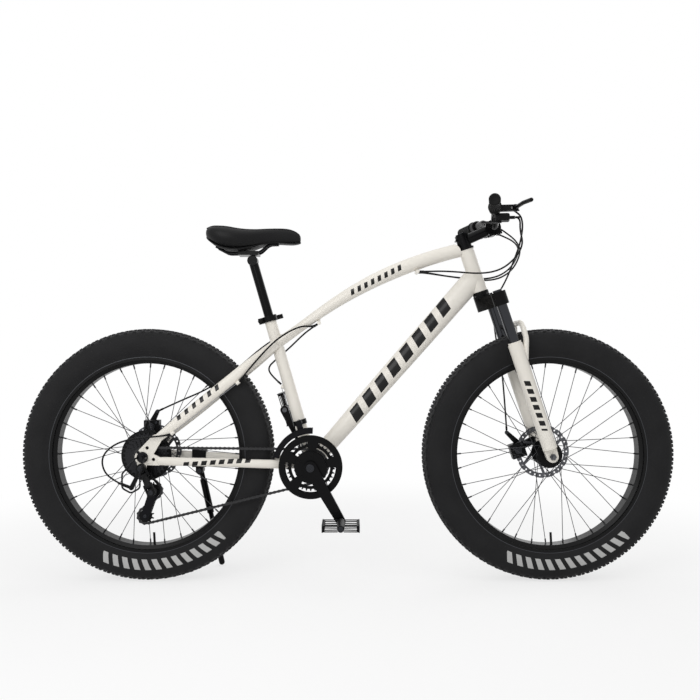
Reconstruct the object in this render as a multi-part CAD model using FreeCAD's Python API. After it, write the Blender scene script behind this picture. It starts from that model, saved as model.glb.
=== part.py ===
import FreeCAD, Part
import math
import os

os.makedirs("parts", exist_ok=True)

# Whole bicycle, in millimetres. X points forward, Y to the rider's left, Z up.
wheel_base = 1170.0
tire_diameter = 735.0
chainstay_run = 477.5
bracket_drop = 29.5
seat_angle = 73.8
head_angle = 71.5
fork_offset = 34.0

# Fits shared by all pieces
running_gap = 0.08
seat_gap = 0.05
moving_gap = 0.5
overrun = 2.0
run_share = 0.45
half_share = 0.5
quarter_share = 0.25

# Main frame tubes
head_tube_length = 130.0
head_tube_radius = 22.0
head_tube_bore = 17.0
fork_height = 505.0
lower_cup_height = 10.0
upper_cup_height = 6.0
cup_radius = 24.0
seat_tube_length = 450.0
seat_tube_radius = 17.5
seat_bore_bottom = 40.0
shell_half_width = 50.0
shell_radius = 21.0
shell_bore = 17.0
bracket_cup_width = 3.0
bracket_cup_radius = 20.5
down_tube_top = 46.0
down_tube_end_heights = (22.5, 32.0)
down_tube_end_widths = (20.0, 24.0)
down_tube_shares = (0.0, 0.55, 1.0)
down_tube_growth_shares = (0.0, 0.775, 1.0)
frame_tube_wall = 2.0
top_tube_drop = 82.0
top_tube_slope = 35.5
top_tube_straight = 155.0
top_tube_arc = 1160.0
top_tube_shares = (0.0, 0.25, 0.5, 0.75, 1.0)
top_tube_arc_radii = (15.0, 18.5, 21.0, 21.0, 20.5)
top_tube_seat_radius = 15.5
stem_swing_radius = 27.5
stop_radius = 5.5
stop_reach = 26.0
stop_post_radius = 4.0
stop_post_height = 16.0
front_stop = (203.0, 903.0)
rear_stop = (-86.0, 753.0)

# Rear stays and dropouts
stay_sides = (20.0, 38.0, 57.0, 64.0, 68.0, 74.0, 80.0, 86.0, 91.5)
stay_half_widths = (8.0, 9.0, 9.0, 9.0, 9.0, 9.0, 8.5, 7.5, 6.0)
stay_half_heights = (14.0, 15.5, 16.0, 16.0, 16.0, 16.0, 15.5, 14.0, 12.0)
stay_end_ahead = 38.0
stay_end_above = 50.0
chainstay_start = 467.0
chainstay_end = 45.0
chainstay_sides = (38.0, 47.0, 63.0, 65.0, 67.0, 75.0, 84.0, 91.5)
chainstay_half_widths = (9.0, 9.0, 9.0, 9.0, 9.0, 8.5, 7.5, 6.0)
chainstay_half_heights = (14.0, 13.0, 12.5, 12.5, 12.5, 12.0, 12.0, 11.0)
chainstay_end_drop = 11.0
chainstay_front_drop = 27.5
dropout_inner = 88.5
dropout_thickness = 6.0
dropout_axle_radius = 22.0
dropout_stay_radius = 15.0
dropout_chainstay_radius = 12.0
hanger_back = 2.0
hanger_drop = 30.0
hanger_radius = 12.0
hanger_root_radius = 18.0
hanger_hole = 5.0
lightening_radius = 5.0
lightening_places = ((-13.0, 14.0), (13.0, 27.0), (31.0, -6.0))
stay_stop_places = ((-317.0, 579.0, 69.0), (-500.0, 437.0, 92.0))

# Wheels
axle_radius = 5.0
bead_radius = 279.5
flange_radius = 286.0
rim_half_width = 39.0
rim_wall = 2.5
rim_shelf = 26.0
rim_well_half = 20.0
rim_well_radius = 269.0
rim_thickness = 3.0
tire_half_width = 49.5
tread_flat_half = 18.0
tread_thickness = 7.0
knob_height = 4.0
knob_pitches = 88
knob_half_centre = 5.0
knob_rows = ((8.0, 15.0), (18.5, 26.0), (29.5, 37.0))
knob_slot_share = 0.48
knob_skin = 0.4
knob_slot_margin = 1.0
sidewall = 2.5
widest_share = 0.48
shoulder_shares = (0.82, 0.88)
tread_edge_shares = (0.925, 0.77)
crown_mid_shares = (0.975, 0.57)
bead_gap = 0.1
bead_width = 9.0
tube_radius = 36.0
tube_half_width = 43.0
tube_wall = 1.4
valve_radius = 3.5
valve_angle = -87.0
valve_length = 33.0
spokes_per_side = 18
spoke_cross = 3
spoke_radius = 1.0
spoke_rim_side = 10.0
nipple_radius = 2.2
nipple_length = 12.0
nipple_gap = 0.7
spoke_elbow = 2.8
hub_flange_radius = 38.0
hub_flange_width = 4.0
hub_hole_radius = 34.0
hub_barrel_radius = 19.0
hub_end_radius = 13.0
rotor_seat_radius = 26.0
rotor_radius = 80.0
rotor_band = 15.0
rotor_thickness = 2.0
rotor_pilot = 20.0
rotor_ring = 31.0
rotor_arms = 6
rotor_arm_half = 4.0
rotor_arm_sweep = 35.0
rotor_holes = 30
rotor_hole_radius = 2.6
rotor_waves = 15
rotor_wave_radius = 7.0
rotor_wave_depth = 2.5
rotor_bolt_radius = 4.0
rotor_bolt_head = 2.0
rotor_bolt_share = 0.83
cone_radius = 9.0
nut_radius = 9.5
nut_width = 9.0
axle_tail = 9.0
axle_tail_radius = 4.7
hex_sides = 6
front_inner = 67.5
front_hub_right = -38.0
front_hub_left = 34.0
front_rotor_side = 56.0
front_hub_half = 60.0
rear_hub_right = -36.0
rear_hub_left = 46.0
rear_rotor_side = 70.0
rear_hub_half = 84.0
driver_radius = 15.0
guard_washer_width = 3.0
guard_rod_radius = 2.5
guard_side = 130.0
guard_reach = 25.0
guard_centre_back = 24.0
guard_bottom_drop = 96.0
guard_corner_drop = 82.0
guard_top_drop = 42.0
guard_washer_radius = 16.0
guard_root = 13.0
guard_bend = 12.0

# Chain drive
chain_pitch = 12.7
roller_radius = 3.85
roller_bore = 1.9
chain_pin_radius = 1.8
inner_half_width = 1.25
link_plate_thickness = 0.9
link_play = 0.2
pin_tail = 0.3
plate_half_height = 4.1
plate_waist_share = 0.72
ring_teeth = (24, 34, 42)
ring_sides = (-60.0, -67.5, -75.0)
ring_bore = 32.0
ring_window_inner = 47.0
ring_window_wall = 9.0
window_half_angle = 23.0
cog_teeth = (11, 13, 15, 18, 21, 24, 28, 32)
small_cog_side = -82.5
cog_spacing = 4.8
cog_in_use = 1
carrier_radius = 17.6
carrier_margin = 1.6
pulley_teeth = 11
tooth_thickness = 1.8
tooth_root_drop = 4.1
tooth_tip_rise = 2.2
tooth_root_share = 0.5
tooth_pitch_share = 0.30
tooth_tip_share = 0.12
chain_links = 112
cage_angle_limits = (-170.0, -80.0)
cage_angle_halvings = 60
count_tolerance = 1e-9

# Cranks, guard and pedals
crank_length = 175.0
crank_angle = -60.0
crank_arm_inner = 93.0
crank_arm_thickness = 13.0
crank_boss_radius = 19.0
crank_end_radius = 13.0
spindle_radius = 8.5
spider_radius = 45.0
spider_inner = 84.0
spider_thickness = 6.0
spider_arms = 5
rivet_circle = 39.5
rivet_radius = 4.0
rivet_head_radius = 6.0
rivet_head_height = 2.0
guard_radius = 91.5
guard_band = 17.0
guard_inner_side = 79.5
guard_thickness = 4.0
dust_cap_radius = 11.0
dust_cap_height = 2.0
pedal_axle_root = 7.0
pedal_axle_radius = 4.5
pedal_collar_radius = 8.5
pedal_collar_width = 8.0
pedal_width = 95.0
pedal_half_length = 52.0
pedal_half_height = 11.0
pedal_barrel_radius = 12.0
pedal_bar_thickness = 6.0
pedal_rib_width = 5.0
pedal_rib_share = 0.7
pedal_teeth = 7
pedal_notch_depth = 4.0
left_pedal_turn = 73.0

# Front derailleur
fd_height = 127.0
fd_band_width = 14.0
fd_band_thickness = 3.0
fd_block_outer = 48.0
fd_block_half = 9.0
fd_cage_inner_radius = 94.0
fd_cage_outer_radius = 111.0
fd_cage_angles = (87.0, 166.0)
fd_bridge_turn = 2.0
fd_plate_thickness = 1.5
fd_cage_half_gap = 6.5
fd_bridge_radius = 2.0
fd_rod_radius = 3.0
fd_rod_offset = 5.5
fd_rod_inner = 24.0
fd_carrier_half = 8.5

# Rear derailleur
rd_angle = -64.7
rd_knuckle_radius = 13.0
rd_base_width = 19.0
rd_link_length = 34.0
rd_link_offset = 12.0
rd_link_side = -103.0
rd_base_arm = 22.0
rd_cage_arm = 20.0
rd_link_radius = 8.0
rd_link_half = 8.0
rd_ear_radius = 7.0
rd_ear_width = 4.0
rd_pin_radius = 4.0
rd_knuckle_outer = -122.0
rd_p_radius = 12.0
rd_cage_half_gap = 6.5
rd_plate = 2.0
rd_cage_radii = (13.0, 12.0)
rd_cage_length = 76.0
rd_pivot_radius = 5.0
rd_pivot_depth = 14.0
rd_bolt_radius = 3.0
pulley_hub_radius = 9.0
pulley_hub_half = 5.5
rd_barrel_radius = 4.5
rd_arm_radii = (4.5, 6.5)
rd_barrel_end = (-639.0, -106.0, 292.0)
rd_barrel_root = (-614.0, -104.0, 282.0)

# Seat group
post_radius = 13.6
post_bottom = 300.0
post_top = 618.0
post_head_radius = 15.0
post_head_half = 20.0
post_head_up = 622.0
clamp_back = -322.0
clamp_front = -262.0
clamp_half_width = 30.0
clamp_bottom_gap = 0.1
clamp_top = 962.5
collar_overlap = 14.0
collar_above = 3.0
collar_thickness = 4.5
collar_lip = 1.5
ear_back = 33.0
ear_half = 11.0
ear_slit = 1.5
skewer_radius = 3.0
skewer_back = 28.0
skewer_nut_radius = 6.0
skewer_nut_side = 20.0
lever_side = 24.0
lever_pin_radius = 2.5
lever_half_height = 6.5
lever_length = 62.0
lever_root_radius = 7.0
lever_tip_radius = 5.0
lever_groove_half = 3.5
lever_turn = 12.0
saddle_places = (-413.0, -397.0, -352.0, -310.0, -265.0, -225.0, -180.0, -150.0, -140.0)
saddle_halves = (46.0, 72.0, 83.0, 75.0, 50.0, 32.0, 24.0, 18.0, 11.0)
saddle_tops = (1024.0, 1037.0, 1036.0, 1028.0, 1028.0, 1031.0, 1031.0, 1021.0, 1009.0)
saddle_bottoms = (1003.0, 988.0, 969.0, 969.0, 980.0, 989.0, 988.0, 989.0, 992.0)
saddle_edge_share = 0.9
saddle_side_share = 0.35
saddle_shoulder_shares = (0.8, 0.78)
saddle_base_share = 0.78
saddle_base_thickness = 4.0
saddle_base_gap = 0.3
rail_radius = 3.5
rail_points = ((-386.0, 31.0, 975.0), (-352.0, 23.0, 957.0), (-260.0, 22.0, 958.0),
               (-232.0, 13.0, 983.0), (-205.0, 9.0, 983.5))
rail_bend = 30.0

# Fork
leg_side = 82.0
stanchion_radius = 15.0
stanchion_wall = 2.5
stanchion_bottom = 150.0
crown_drop = 47.0
crown_height = 39.0
crown_leg_radius = 22.5
crown_centre_radius = 25.0
crown_beam_half = 16.0
steerer_radius = 14.3
steerer_above_head = 43.0
leg_radius = 21.0
leg_top = 340.0
leg_bottom = 24.0
leg_bore_bottom = 60.0
seal_height = 6.0
seal_radius = 19.0
dropout_depth = 15.0
fork_end_radius = 17.0
fork_plate_top = 70.0
fork_plate_radius = 20.0
arch_radius = 8.0
arch_points = ((15.0, 288.0, 82.0), (36.0, 345.0, 80.0), (42.0, 392.0, 60.0), (42.0, 408.0, 0.0))
arch_bend = 45.0

# Handlebar and controls
stem_gap = 0.5
stem_clamp_height = 39.0
stem_clamp_radius = 20.0
stem_reach = 92.4
stem_rise_above_head = 35.5
stem_arm_radius = 15.0
stem_bar_radius = 23.0
stem_bar_half = 23.0
stem_split = 1.5
stem_bolt_radius = 2.5
stem_bolt_places = (15.0, 19.0)
stem_bolt_reach = 17.0
stem_bolt_head = 4.0
stem_cap_radius = 17.0
stem_cap_height = 4.0
pinch_bolt_radius = 3.0
pinch_bolt_half = 12.0
pinch_bolt_back = 20.5
pinch_bolt_shares = (0.3, 0.7)
bar_radius = 11.1
bar_bore = 9.0
bar_sleeve_radius = 15.9
bar_sleeve_half = 30.0
bar_half = 330.0
bar_sweep = 46.0
bar_rise = 30.0
bar_knee_side = 105.0
bar_knee_back = 8.0
bar_flat_half = 45.0
bar_bend = 60.0
grip_length = 125.0
grip_radius = 15.75
grip_cap = 3.0
grip_flange_radius = 19.0
grip_flange_width = 3.0
pod_inboard = 149.0
pod_ring_radius = 17.0
pod_ring_half = 13.0
perch_reach = 55.0
perch_root_radius = 13.0
perch_end_radius = 11.0
perch_half_height = 8.0
perch_slot_half = 5.3
perch_slot_radius = 15.0
perch_pin_radius = 3.0
lever_eye_radius = 9.0
lever_eye_half = 5.0
lever_rod_radius = 5.5
lever_points = ((55.0, 0.0), (62.0, 34.0), (74.0, 85.0), (93.0, 128.0))
lever_bend = 60.0
shifter_half_length = 24.0
shifter_half_width = 20.0
shifter_half_height = 10.0
shifter_fillet = 6.0
shifter_forward = 20.0
shifter_inboard = 12.0
shifter_drop = 24.0
thumb_forward = 10.0
thumb_inboard = 10.0
thumb_tip = (-32.0, -6.0)
thumb_radii = (8.0, 6.0)
thumb_thickness = 4.0
thumb_pin_radius = 3.0
barrel_radius = 4.5
barrel_length = 14.0

# Calipers
caliper_slot_half = 2.6
caliper_slot_radius = 86.0
pad_thickness = 1.1
pad_gap = 0.1
pad_half_length = 10.0
pad_half_height = 8.0
caliper_arm_thickness = 6.0
caliper_arm_radii = (9.0, 6.0)
caliper_pin_radius = 4.0
rear_caliper_place = (-9.0, 74.0)
rear_caliper_half = (23.0, 19.0)
rear_caliper_sides = (58.0, 90.0)
rear_bracket_sides = (78.0, 88.4)
rear_bracket_end = (30.0, 44.0)
rear_bracket_radii = (12.0, 10.0)
rear_arm_pivot = (-15.0, 84.0)
rear_arm_end = (2.0, 118.0)
front_caliper_place = (-69.0, 27.0)
front_caliper_half = (22.0, 22.0)
front_caliper_sides = (46.0, 78.0)
front_bracket_sides = (62.0, 75.0)
front_bracket_radius = 11.0
front_bracket_ends = ((-55.0, 34.0), (-12.0, 40.0))
front_arm_pivot = (-58.0, 42.0)
front_arm_end = (-80.0, 84.0)

# Kickstand
stand_behind = 133.0
stand_clamp_half = 21.0
stand_clamp_sides = (67.0, 99.0)
stand_clamp_low = 49.0
stand_clamp_high = 4.0
stand_pivot_drop = 61.5
stand_boss_radius = 11.0
stand_boss_inner = 74.0
stand_pin_radius = 5.0
stand_eye_width = 14.0
stand_leg_radius = 7.5
stand_foot = (-396.0, 160.0, 9.5)
stand_foot_radius = 9.0
stand_foot_length = 36.0
stand_sleeve_radius = 10.5
stand_sleeve_start = 32.0
stand_sleeve_length = 108.0

# Cables: the routes are places read from the photograph
housing_radius = 2.5
wire_radius = 0.8
cable_start_gap = 0.3
cable_lead = 14.0
right_shift_route = ((129.9, -150.0, 37.6), (144.9, -122.0, 3.6), (129.9, -96.0, -32.4),
                     (91.9, -72.0, -65.4), (36.9, -50.0, -75.4), (-58.1, -34.0, -65.4))
left_shift_route = ((131.9, 172.0, 65.6), (170.9, 136.0, 39.6), (177.9, 104.0, 5.6),
                    (141.9, 76.0, -54.4), (76.9, 52.0, -84.4), (-38.1, 20.0, -79.4))
rear_brake_route = ((143.9, 190.0, 81.6), (177.9, 146.0, 43.6), (184.9, 112.0, 3.6),
                    (147.9, 84.0, -60.4), (79.9, 60.0, -90.4), (-48.1, 36.0, -75.4))
front_brake_route = ((138.9, -150.0, 71.6), (143.9, -100.0, 16.6), (131.9, -30.0, -43.4),
                     (127.9, 50.0, -83.4), (108.9, 110.0, -130.4), (97.9, 114.0, -193.4),
                     (106.9, 100.0, -278.4), (123.9, 92.0, -358.4))
stop_cable_sides = (-20.0, 0.0, 20.0)
rear_shift_route = ((-140.0, -28.0, 744.0), (-199.0, -33.0, 712.0), (-240.0, -50.0, 672.0),
                    (-290.0, -74.0, 612.0))
rear_shift_loop = ((-522.0, -103.0, 429.0), (-604.0, -112.0, 424.0), (-660.0, -114.0, 408.0),
                   (-697.0, -114.0, 372.0), (-690.0, -112.0, 326.0))
rear_brake_stay_route = ((-140.0, 28.0, 744.0), (-200.0, 38.0, 718.0), (-262.0, 62.0, 681.0),
                         (-340.0, 86.0, 614.0), (-425.0, 92.0, 555.0), (-520.0, 96.0, 515.0))
mid_shift_route = ((-130.0, 6.0, 722.0), (-176.0, 24.0, 678.0), (-214.0, 27.0, 646.0),
                   (-240.0, 16.0, 620.0), (-224.0, 3.0, 594.0))
seat_stop_place = (-197.5, 566.0)

# Places worked out from the dimensions above
axle_height = tire_diameter / 2
rear_x = -wheel_base / 2
front_x = wheel_base / 2


def vec(x, y, z):
    return FreeCAD.Vector(x, y, z)


def turn_vec(angle):
    """Unit vector in the wheel plane, counted from forward towards up."""
    return vec(math.cos(math.radians(angle)), 0, math.sin(math.radians(angle)))


side_axis = vec(0, 1, 0)
rear_axle_place = vec(rear_x, 0, axle_height)
front_axle_place = vec(front_x, 0, axle_height)
steer_up = turn_vec(180 - head_angle)
steer_front = turn_vec(90 - head_angle)
bracket = vec(rear_x + chainstay_run, 0, axle_height - bracket_drop)
seat_up = turn_vec(180 - seat_angle)
seat_front = turn_vec(90 - seat_angle)
head_low = fork_height + lower_cup_height
head_high = head_low + head_tube_length
stem_low = head_high + upper_cup_height + stem_gap
stem_rise = head_high + stem_rise_above_head
steerer_top = head_high + steerer_above_head
crown_bottom = fork_height - crown_drop
crown_top = crown_bottom + crown_height
collar_bottom = seat_tube_length - collar_overlap
collar_top = seat_tube_length + collar_above
top_tube_height = seat_tube_length - top_tube_drop


def fork_at(forward, up, side=0):
    """Place counted from the front axle along the steering axis."""
    return front_axle_place + steer_front * forward + steer_up * up + side_axis * side


def steer_at(forward, up, side=0):
    """Place counted from the steering axis."""
    return fork_at(forward - fork_offset, up, side)


def seat_at(up, forward=0, side=0):
    """Place counted from the bottom bracket along the seat tube."""
    return bracket + seat_up * up + seat_front * forward + side_axis * side


def rear_at(ahead, above, side=0):
    """Place counted from the rear axle."""
    return rear_axle_place + vec(ahead, side, above)


def rod(start, end, radius):
    run = end - start
    return Part.makeCylinder(radius, run.Length, start, run)


def sleeve(start, end, outer, inner):
    run = end - start
    run.normalize()
    core = rod(start - run * overrun, end + run * overrun, inner)
    return rod(start, end, outer).cut(core)


def cross_rod(place, inner, outer, radius):
    """Rod across the bicycle between two side distances."""
    return rod(place + side_axis * inner, place + side_axis * outer, radius)


def outline(first, *moves):
    """Face whose edge runs by lines (end) and arcs (middle, end) back to its first point."""
    edges = []
    here = first
    for move in moves:
        if len(move) == 1:
            edges.append(Part.LineSegment(here, move[0]).toShape())
        else:
            edges.append(Part.Arc(here, move[0], move[1]).toShape())
        here = move[-1]
    return Part.Face(Part.Wire(edges))


def polygon(points):
    return Part.Face(Part.makePolygon(list(points) + [points[0]]))


def tapered_plate(start, end, start_radius, end_radius, depth):
    """Plate around two round ends, extruded by the vector depth."""
    along = end - start
    length = along.Length
    along.normalize()
    across = depth.cross(along)
    across.normalize()
    lean = (start_radius - end_radius) / length
    spread = math.sqrt(1 - lean * lean)
    high = along * lean + across * spread
    low = along * lean - across * spread
    face = outline(start + high * start_radius,
                   [end + high * end_radius],
                   [end + along * end_radius, end + low * end_radius],
                   [start + low * start_radius],
                   [start - along * start_radius, start + high * start_radius])
    return face.extrude(depth)


def box_between(low, high):
    return Part.makeBox(high.x - low.x, high.y - low.y, high.z - low.z, low)


def ring_of(shapes):
    first = shapes[0]
    return first.multiFuse(shapes[1:]).removeSplitter() if len(shapes) > 1 else first


def rounded_wire(points, bend=None):
    """Straight runs joined by tangent arcs, no wider than bend where it is given."""
    edges = []
    here = points[0]
    for before, corner, after in zip(points, points[1:], points[2:]):
        into = corner - before
        out = after - corner
        shorter = min(into.Length, out.Length)
        into.normalize()
        out.normalize()
        half_turn = into.getAngle(out) / 2
        reach = run_share * shorter
        if bend is not None:
            reach = min(reach, bend * math.tan(half_turn))
        radius = reach / math.tan(half_turn)
        inward = out - into
        inward.normalize()
        centre = corner + inward * (radius / math.cos(half_turn))
        start = corner - into * reach
        end = corner + out * reach
        edges.append(Part.LineSegment(here, start).toShape())
        edges.append(Part.Arc(start, centre - inward * radius, end).toShape())
        here = end
    edges.append(Part.LineSegment(here, points[-1]).toShape())
    return Part.Wire(edges)


def bent_rod(points, radius, bend=None):
    path = rounded_wire(points, bend)
    section = Part.Wire(Part.makeCircle(radius, points[0], points[1] - points[0]))
    return path.makePipeShell([section], True, False)


def oval(centre, tall, wide, half_height, half_width):
    """Oval wire whose longer half lies along the vector tall."""
    ellipse = Part.Ellipse(centre + tall * half_height, centre + wide * half_width, centre)
    return Part.Wire(ellipse.toShape())


def spun(face, centre):
    return face.revolve(centre, side_axis, 360)


def mirrored(shape):
    return shape.mirror(vec(0, 0, 0), side_axis)


def hexagon_nut(place, inner, outer, radius, bore):
    corners = []
    for count in range(hex_sides):
        corners.append(place + turn_vec(count * 360 / hex_sides) * radius + side_axis * inner)
    body = polygon(corners).extrude(side_axis * (outer - inner))
    return body.cut(cross_rod(place, inner - math.copysign(overrun, outer - inner),
                              outer + math.copysign(overrun, outer - inner), bore))


def save(name, *solids):
    shape = solids[0] if len(solids) == 1 else Part.makeCompound(list(solids))
    shape.exportStep("parts/" + name + ".step")


# Main frame: head, seat and bottom bracket tubes are whole, the others are cut to meet them
def head_tube_cut():
    return rod(steer_at(0, head_low), steer_at(0, head_high), head_tube_radius)


def build_head_tube():
    return sleeve(steer_at(0, head_low), steer_at(0, head_high), head_tube_radius, head_tube_bore)


def build_seat_tube():
    tube = rod(bracket, seat_at(seat_tube_length), seat_tube_radius)
    shell = cross_rod(bracket, -shell_half_width, shell_half_width, shell_radius)
    bore = rod(seat_at(seat_bore_bottom), seat_at(seat_tube_length + overrun), post_radius + running_gap)
    hole = cross_rod(bracket, -shell_half_width - overrun, shell_half_width + overrun, shell_bore)
    stop = rod(vec(seat_stop_place[0], 0, seat_stop_place[1]),
               seat_at(seat_stop_place[1] - bracket.z), stop_radius)
    return tube.fuse(shell).fuse(stop).cut(bore).cut(hole).removeSplitter()


def down_tube_loft(wall):
    top = steer_at(0, head_low + down_tube_top)
    along = top - bracket
    tall = along.cross(side_axis)
    tall.normalize()
    sections = []
    for share, grow in zip(down_tube_shares, down_tube_growth_shares):
        height = down_tube_end_heights[0] + grow * (down_tube_end_heights[1] - down_tube_end_heights[0])
        width = down_tube_end_widths[0] + grow * (down_tube_end_widths[1] - down_tube_end_widths[0])
        sections.append(oval(bracket + along * share, tall, side_axis, height - wall, width - wall))
    return Part.makeLoft(sections, True, False)


def build_down_tube(keep_out):
    tube = down_tube_loft(0).cut(down_tube_loft(frame_tube_wall)).cut(keep_out)
    return max(tube.Solids, key=lambda solid: solid.Volume)


def top_tube_path():
    """Stations along the top tube: place, direction and radius."""
    start = seat_at(top_tube_height)
    slope = turn_vec(top_tube_slope)
    knee = start + slope * top_tube_straight
    below = turn_vec(top_tube_slope - 90)
    centre = knee + below * top_tube_arc
    arm = centre - steer_at(0, 0)
    off = arm.dot(steer_front)
    reach = arm.dot(steer_up) + math.sqrt(top_tube_arc ** 2 - off ** 2)
    end = steer_at(0, reach)
    turn = (knee - centre).getAngle(end - centre)
    stations = [(start, slope, top_tube_seat_radius)]
    for share, radius in zip(top_tube_shares, top_tube_arc_radii):
        angle = top_tube_slope + 90 - math.degrees(turn) * share
        stations.append((centre + turn_vec(angle) * top_tube_arc, turn_vec(angle - 90), radius))
    return stations


def top_tube_loft(wall):
    sections = []
    for place, along, radius in top_tube_path():
        sections.append(Part.Wire(Part.makeCircle(radius - wall, place, along)))
    return Part.makeLoft(sections, True, False)


def build_top_tube(keep_out):
    tube = top_tube_loft(0)
    swing = rod(steer_at(0, head_high), steer_at(0, steerer_top + fork_height), stem_swing_radius)
    front = vec(front_stop[0], 0, front_stop[1])
    back = vec(rear_stop[0], 0, rear_stop[1])
    for place, reach in ((front, stop_reach), (back, stop_reach * half_share)):
        post = rod(place, place + vec(0, 0, stop_post_height), stop_post_radius)
        tube = tube.multiFuse([cross_rod(place, -reach, reach, stop_radius), post])
    tube = tube.cut(top_tube_loft(frame_tube_wall)).cut(keep_out).cut(swing)
    return max(tube.Solids, key=lambda solid: solid.Volume)


def build_bearing_cups():
    lower = sleeve(steer_at(0, fork_height), steer_at(0, head_low), cup_radius,
                   steerer_radius + running_gap)
    upper = sleeve(steer_at(0, head_high), steer_at(0, head_high + upper_cup_height),
                   cup_radius, steerer_radius + running_gap)
    right = sleeve(bracket - side_axis * (shell_half_width + bracket_cup_width),
                   bracket - side_axis * shell_half_width, bracket_cup_radius, spindle_radius + running_gap)
    return lower, upper, right, mirrored(right)


def seat_stay_loft(side, wall, count):
    """Seat stay of one side through its first stations, thinner by a wall."""
    top = seat_at(top_tube_height)
    along = rear_at(stay_end_ahead, stay_end_above) - top
    tall = along.cross(side_axis)
    tall.normalize()
    sections = []
    for number in range(count):
        place = top + along * (number / (len(stay_sides) - 1)) + side_axis * (stay_sides[number] * side)
        sections.append(oval(place, tall, side_axis, stay_half_heights[number] - wall,
                             stay_half_widths[number] - wall))
    return Part.makeLoft(sections, True, False)


def chainstay_loft(side, wall, count):
    """Chainstay of one side through its first stations, thinner by a wall."""
    sections = []
    for number in range(count):
        share = number / (len(chainstay_sides) - 1)
        ahead = chainstay_start + share * (chainstay_end - chainstay_start)
        drop = chainstay_front_drop + share * (chainstay_end_drop - chainstay_front_drop)
        sections.append(oval(rear_at(ahead, -drop, chainstay_sides[number] * side), upward_axis, side_axis,
                             chainstay_half_heights[number] - wall, chainstay_half_widths[number] - wall))
    return Part.makeLoft(sections, True, False)


def stay_hollow(side):
    """Inside of the two tubes of one side, closed by solid ends at the dropout."""
    return Part.makeCompound([seat_stay_loft(side, frame_tube_wall, len(stay_sides) - 1),
                              chainstay_loft(side, frame_tube_wall, len(chainstay_sides) - 1)])


def stay_shape(side):
    """Seat stay, chainstay and dropout of one side (1 left, -1 right)."""
    inner = side_axis * (dropout_inner * side)
    depth = side_axis * (dropout_thickness * side)
    plate = tapered_plate(rear_at(0, 0) + inner, rear_at(stay_end_ahead, stay_end_above) + inner,
                          dropout_axle_radius, dropout_stay_radius, depth)
    plate = plate.fuse(tapered_plate(rear_at(0, 0) + inner,
                                     rear_at(chainstay_end, -chainstay_end_drop) + inner,
                                     dropout_axle_radius, dropout_chainstay_radius, depth))
    if side < 0:
        plate = plate.fuse(tapered_plate(rear_at(0, 0) + inner, rear_at(-hanger_back, -hanger_drop) + inner,
                                         hanger_root_radius, hanger_radius, depth))
    return plate.multiFuse([seat_stay_loft(side, 0, len(stay_sides)),
                            chainstay_loft(side, 0, len(chainstay_sides))])


def stay_holes(side):
    near = (dropout_inner - dropout_thickness) * side
    far = (dropout_inner + dropout_thickness + overrun) * side
    holes = [cross_rod(rear_at(0, 0), near, far, axle_radius + seat_gap)]
    for ahead, above in lightening_places:
        holes.append(cross_rod(rear_at(ahead, above), near, far, lightening_radius))
    if side < 0:
        holes.append(cross_rod(rear_at(-hanger_back, -hanger_drop), near, far, hanger_hole + seat_gap))
    return Part.makeCompound(holes)


def build_rear_stays(keep_out):
    """Outside shapes of the right and left stays, before they are hollowed."""
    solids = []
    for side in (-1, 1):
        shape = stay_shape(side)
        if side < 0:
            for x, z, out in stay_stop_places:
                along = rear_at(stay_end_ahead, stay_end_above) - seat_at(top_tube_height)
                along.normalize()
                place = vec(x, out * side, z)
                shape = shape.fuse(rod(place - along * stop_radius, place + along * stop_radius,
                                       stop_radius))
        shape = shape.cut(stay_holes(side)).cut(keep_out)
        if side > 0:
            shape = shape.cut(solids[0])
        solids.append(max(shape.Solids, key=lambda solid: solid.Volume))
    return solids


def tread_places():
    """Radius and half width of the shoulder, the tread edge and the middle of the crown."""
    height = axle_height - bead_radius
    return [(bead_radius + rise * height, tire_half_width * reach)
            for rise, reach in (shoulder_shares, tread_edge_shares, crown_mid_shares)]


def tread_radius(side):
    """Radius of the knob tops at a distance to the side."""
    shoulder, edge, crown = tread_places()
    outer, inner = (edge, crown) if side > crown[1] else (crown, (axle_height, tread_flat_half))
    share = max(side - inner[1], 0) / (outer[1] - inner[1])
    return inner[0] + share * (outer[0] - inner[0])


def tread_floor(side):
    return tread_radius(side) - knob_height


def tread_steps():
    """Half of the tread in section, from the shoulder to the middle: a rib for each row of knobs."""
    steps = []
    for near, far in reversed(knob_rows):
        steps += [(tread_floor(far), far), (tread_radius(far), far)]
        steps += [(tread_radius(near), near), (tread_floor(near), near)]
    return steps + [(tread_floor(knob_half_centre), knob_half_centre), (axle_height, knob_half_centre)]


def tire_face(centre):
    outside = rim_half_width - rim_wall - bead_gap

    def at(radius, side):
        return centre + vec(radius, side, 0)

    wide = bead_radius + widest_share * (axle_height - bead_radius)
    shoulder = tread_places()[0]
    low = bead_radius + bead_gap
    lip = flange_radius + moving_gap
    inside = outside - bead_width
    inner_top = axle_height - tread_thickness
    inner_shoulder = (shoulder[0] - sidewall * half_share, shoulder[1] - sidewall)
    inner_flat = tread_flat_half * half_share
    tread = [[at(radius, side)] for radius, side in tread_steps()]
    tread += [[at(radius, -side)] for radius, side in reversed(tread_steps())]
    return outline(
        at(low, inside), [at(low, outside)], [at(lip, outside - moving_gap)],
        [at(wide, tire_half_width), at(*shoulder)], *tread, [at(shoulder[0], -shoulder[1])],
        [at(wide, -tire_half_width), at(lip, moving_gap - outside)], [at(low, -outside)],
        [at(low, -inside)], [at(lip, sidewall - outside)],
        [at(wide, sidewall - tire_half_width), at(inner_shoulder[0], -inner_shoulder[1])],
        [at(inner_top, -inner_flat)], [at(inner_top, inner_flat)],
        [at(*inner_shoulder)],
        [at(wide, tire_half_width - sidewall), at(lip, outside - sidewall)],
        [at(low, inside)])


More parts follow.
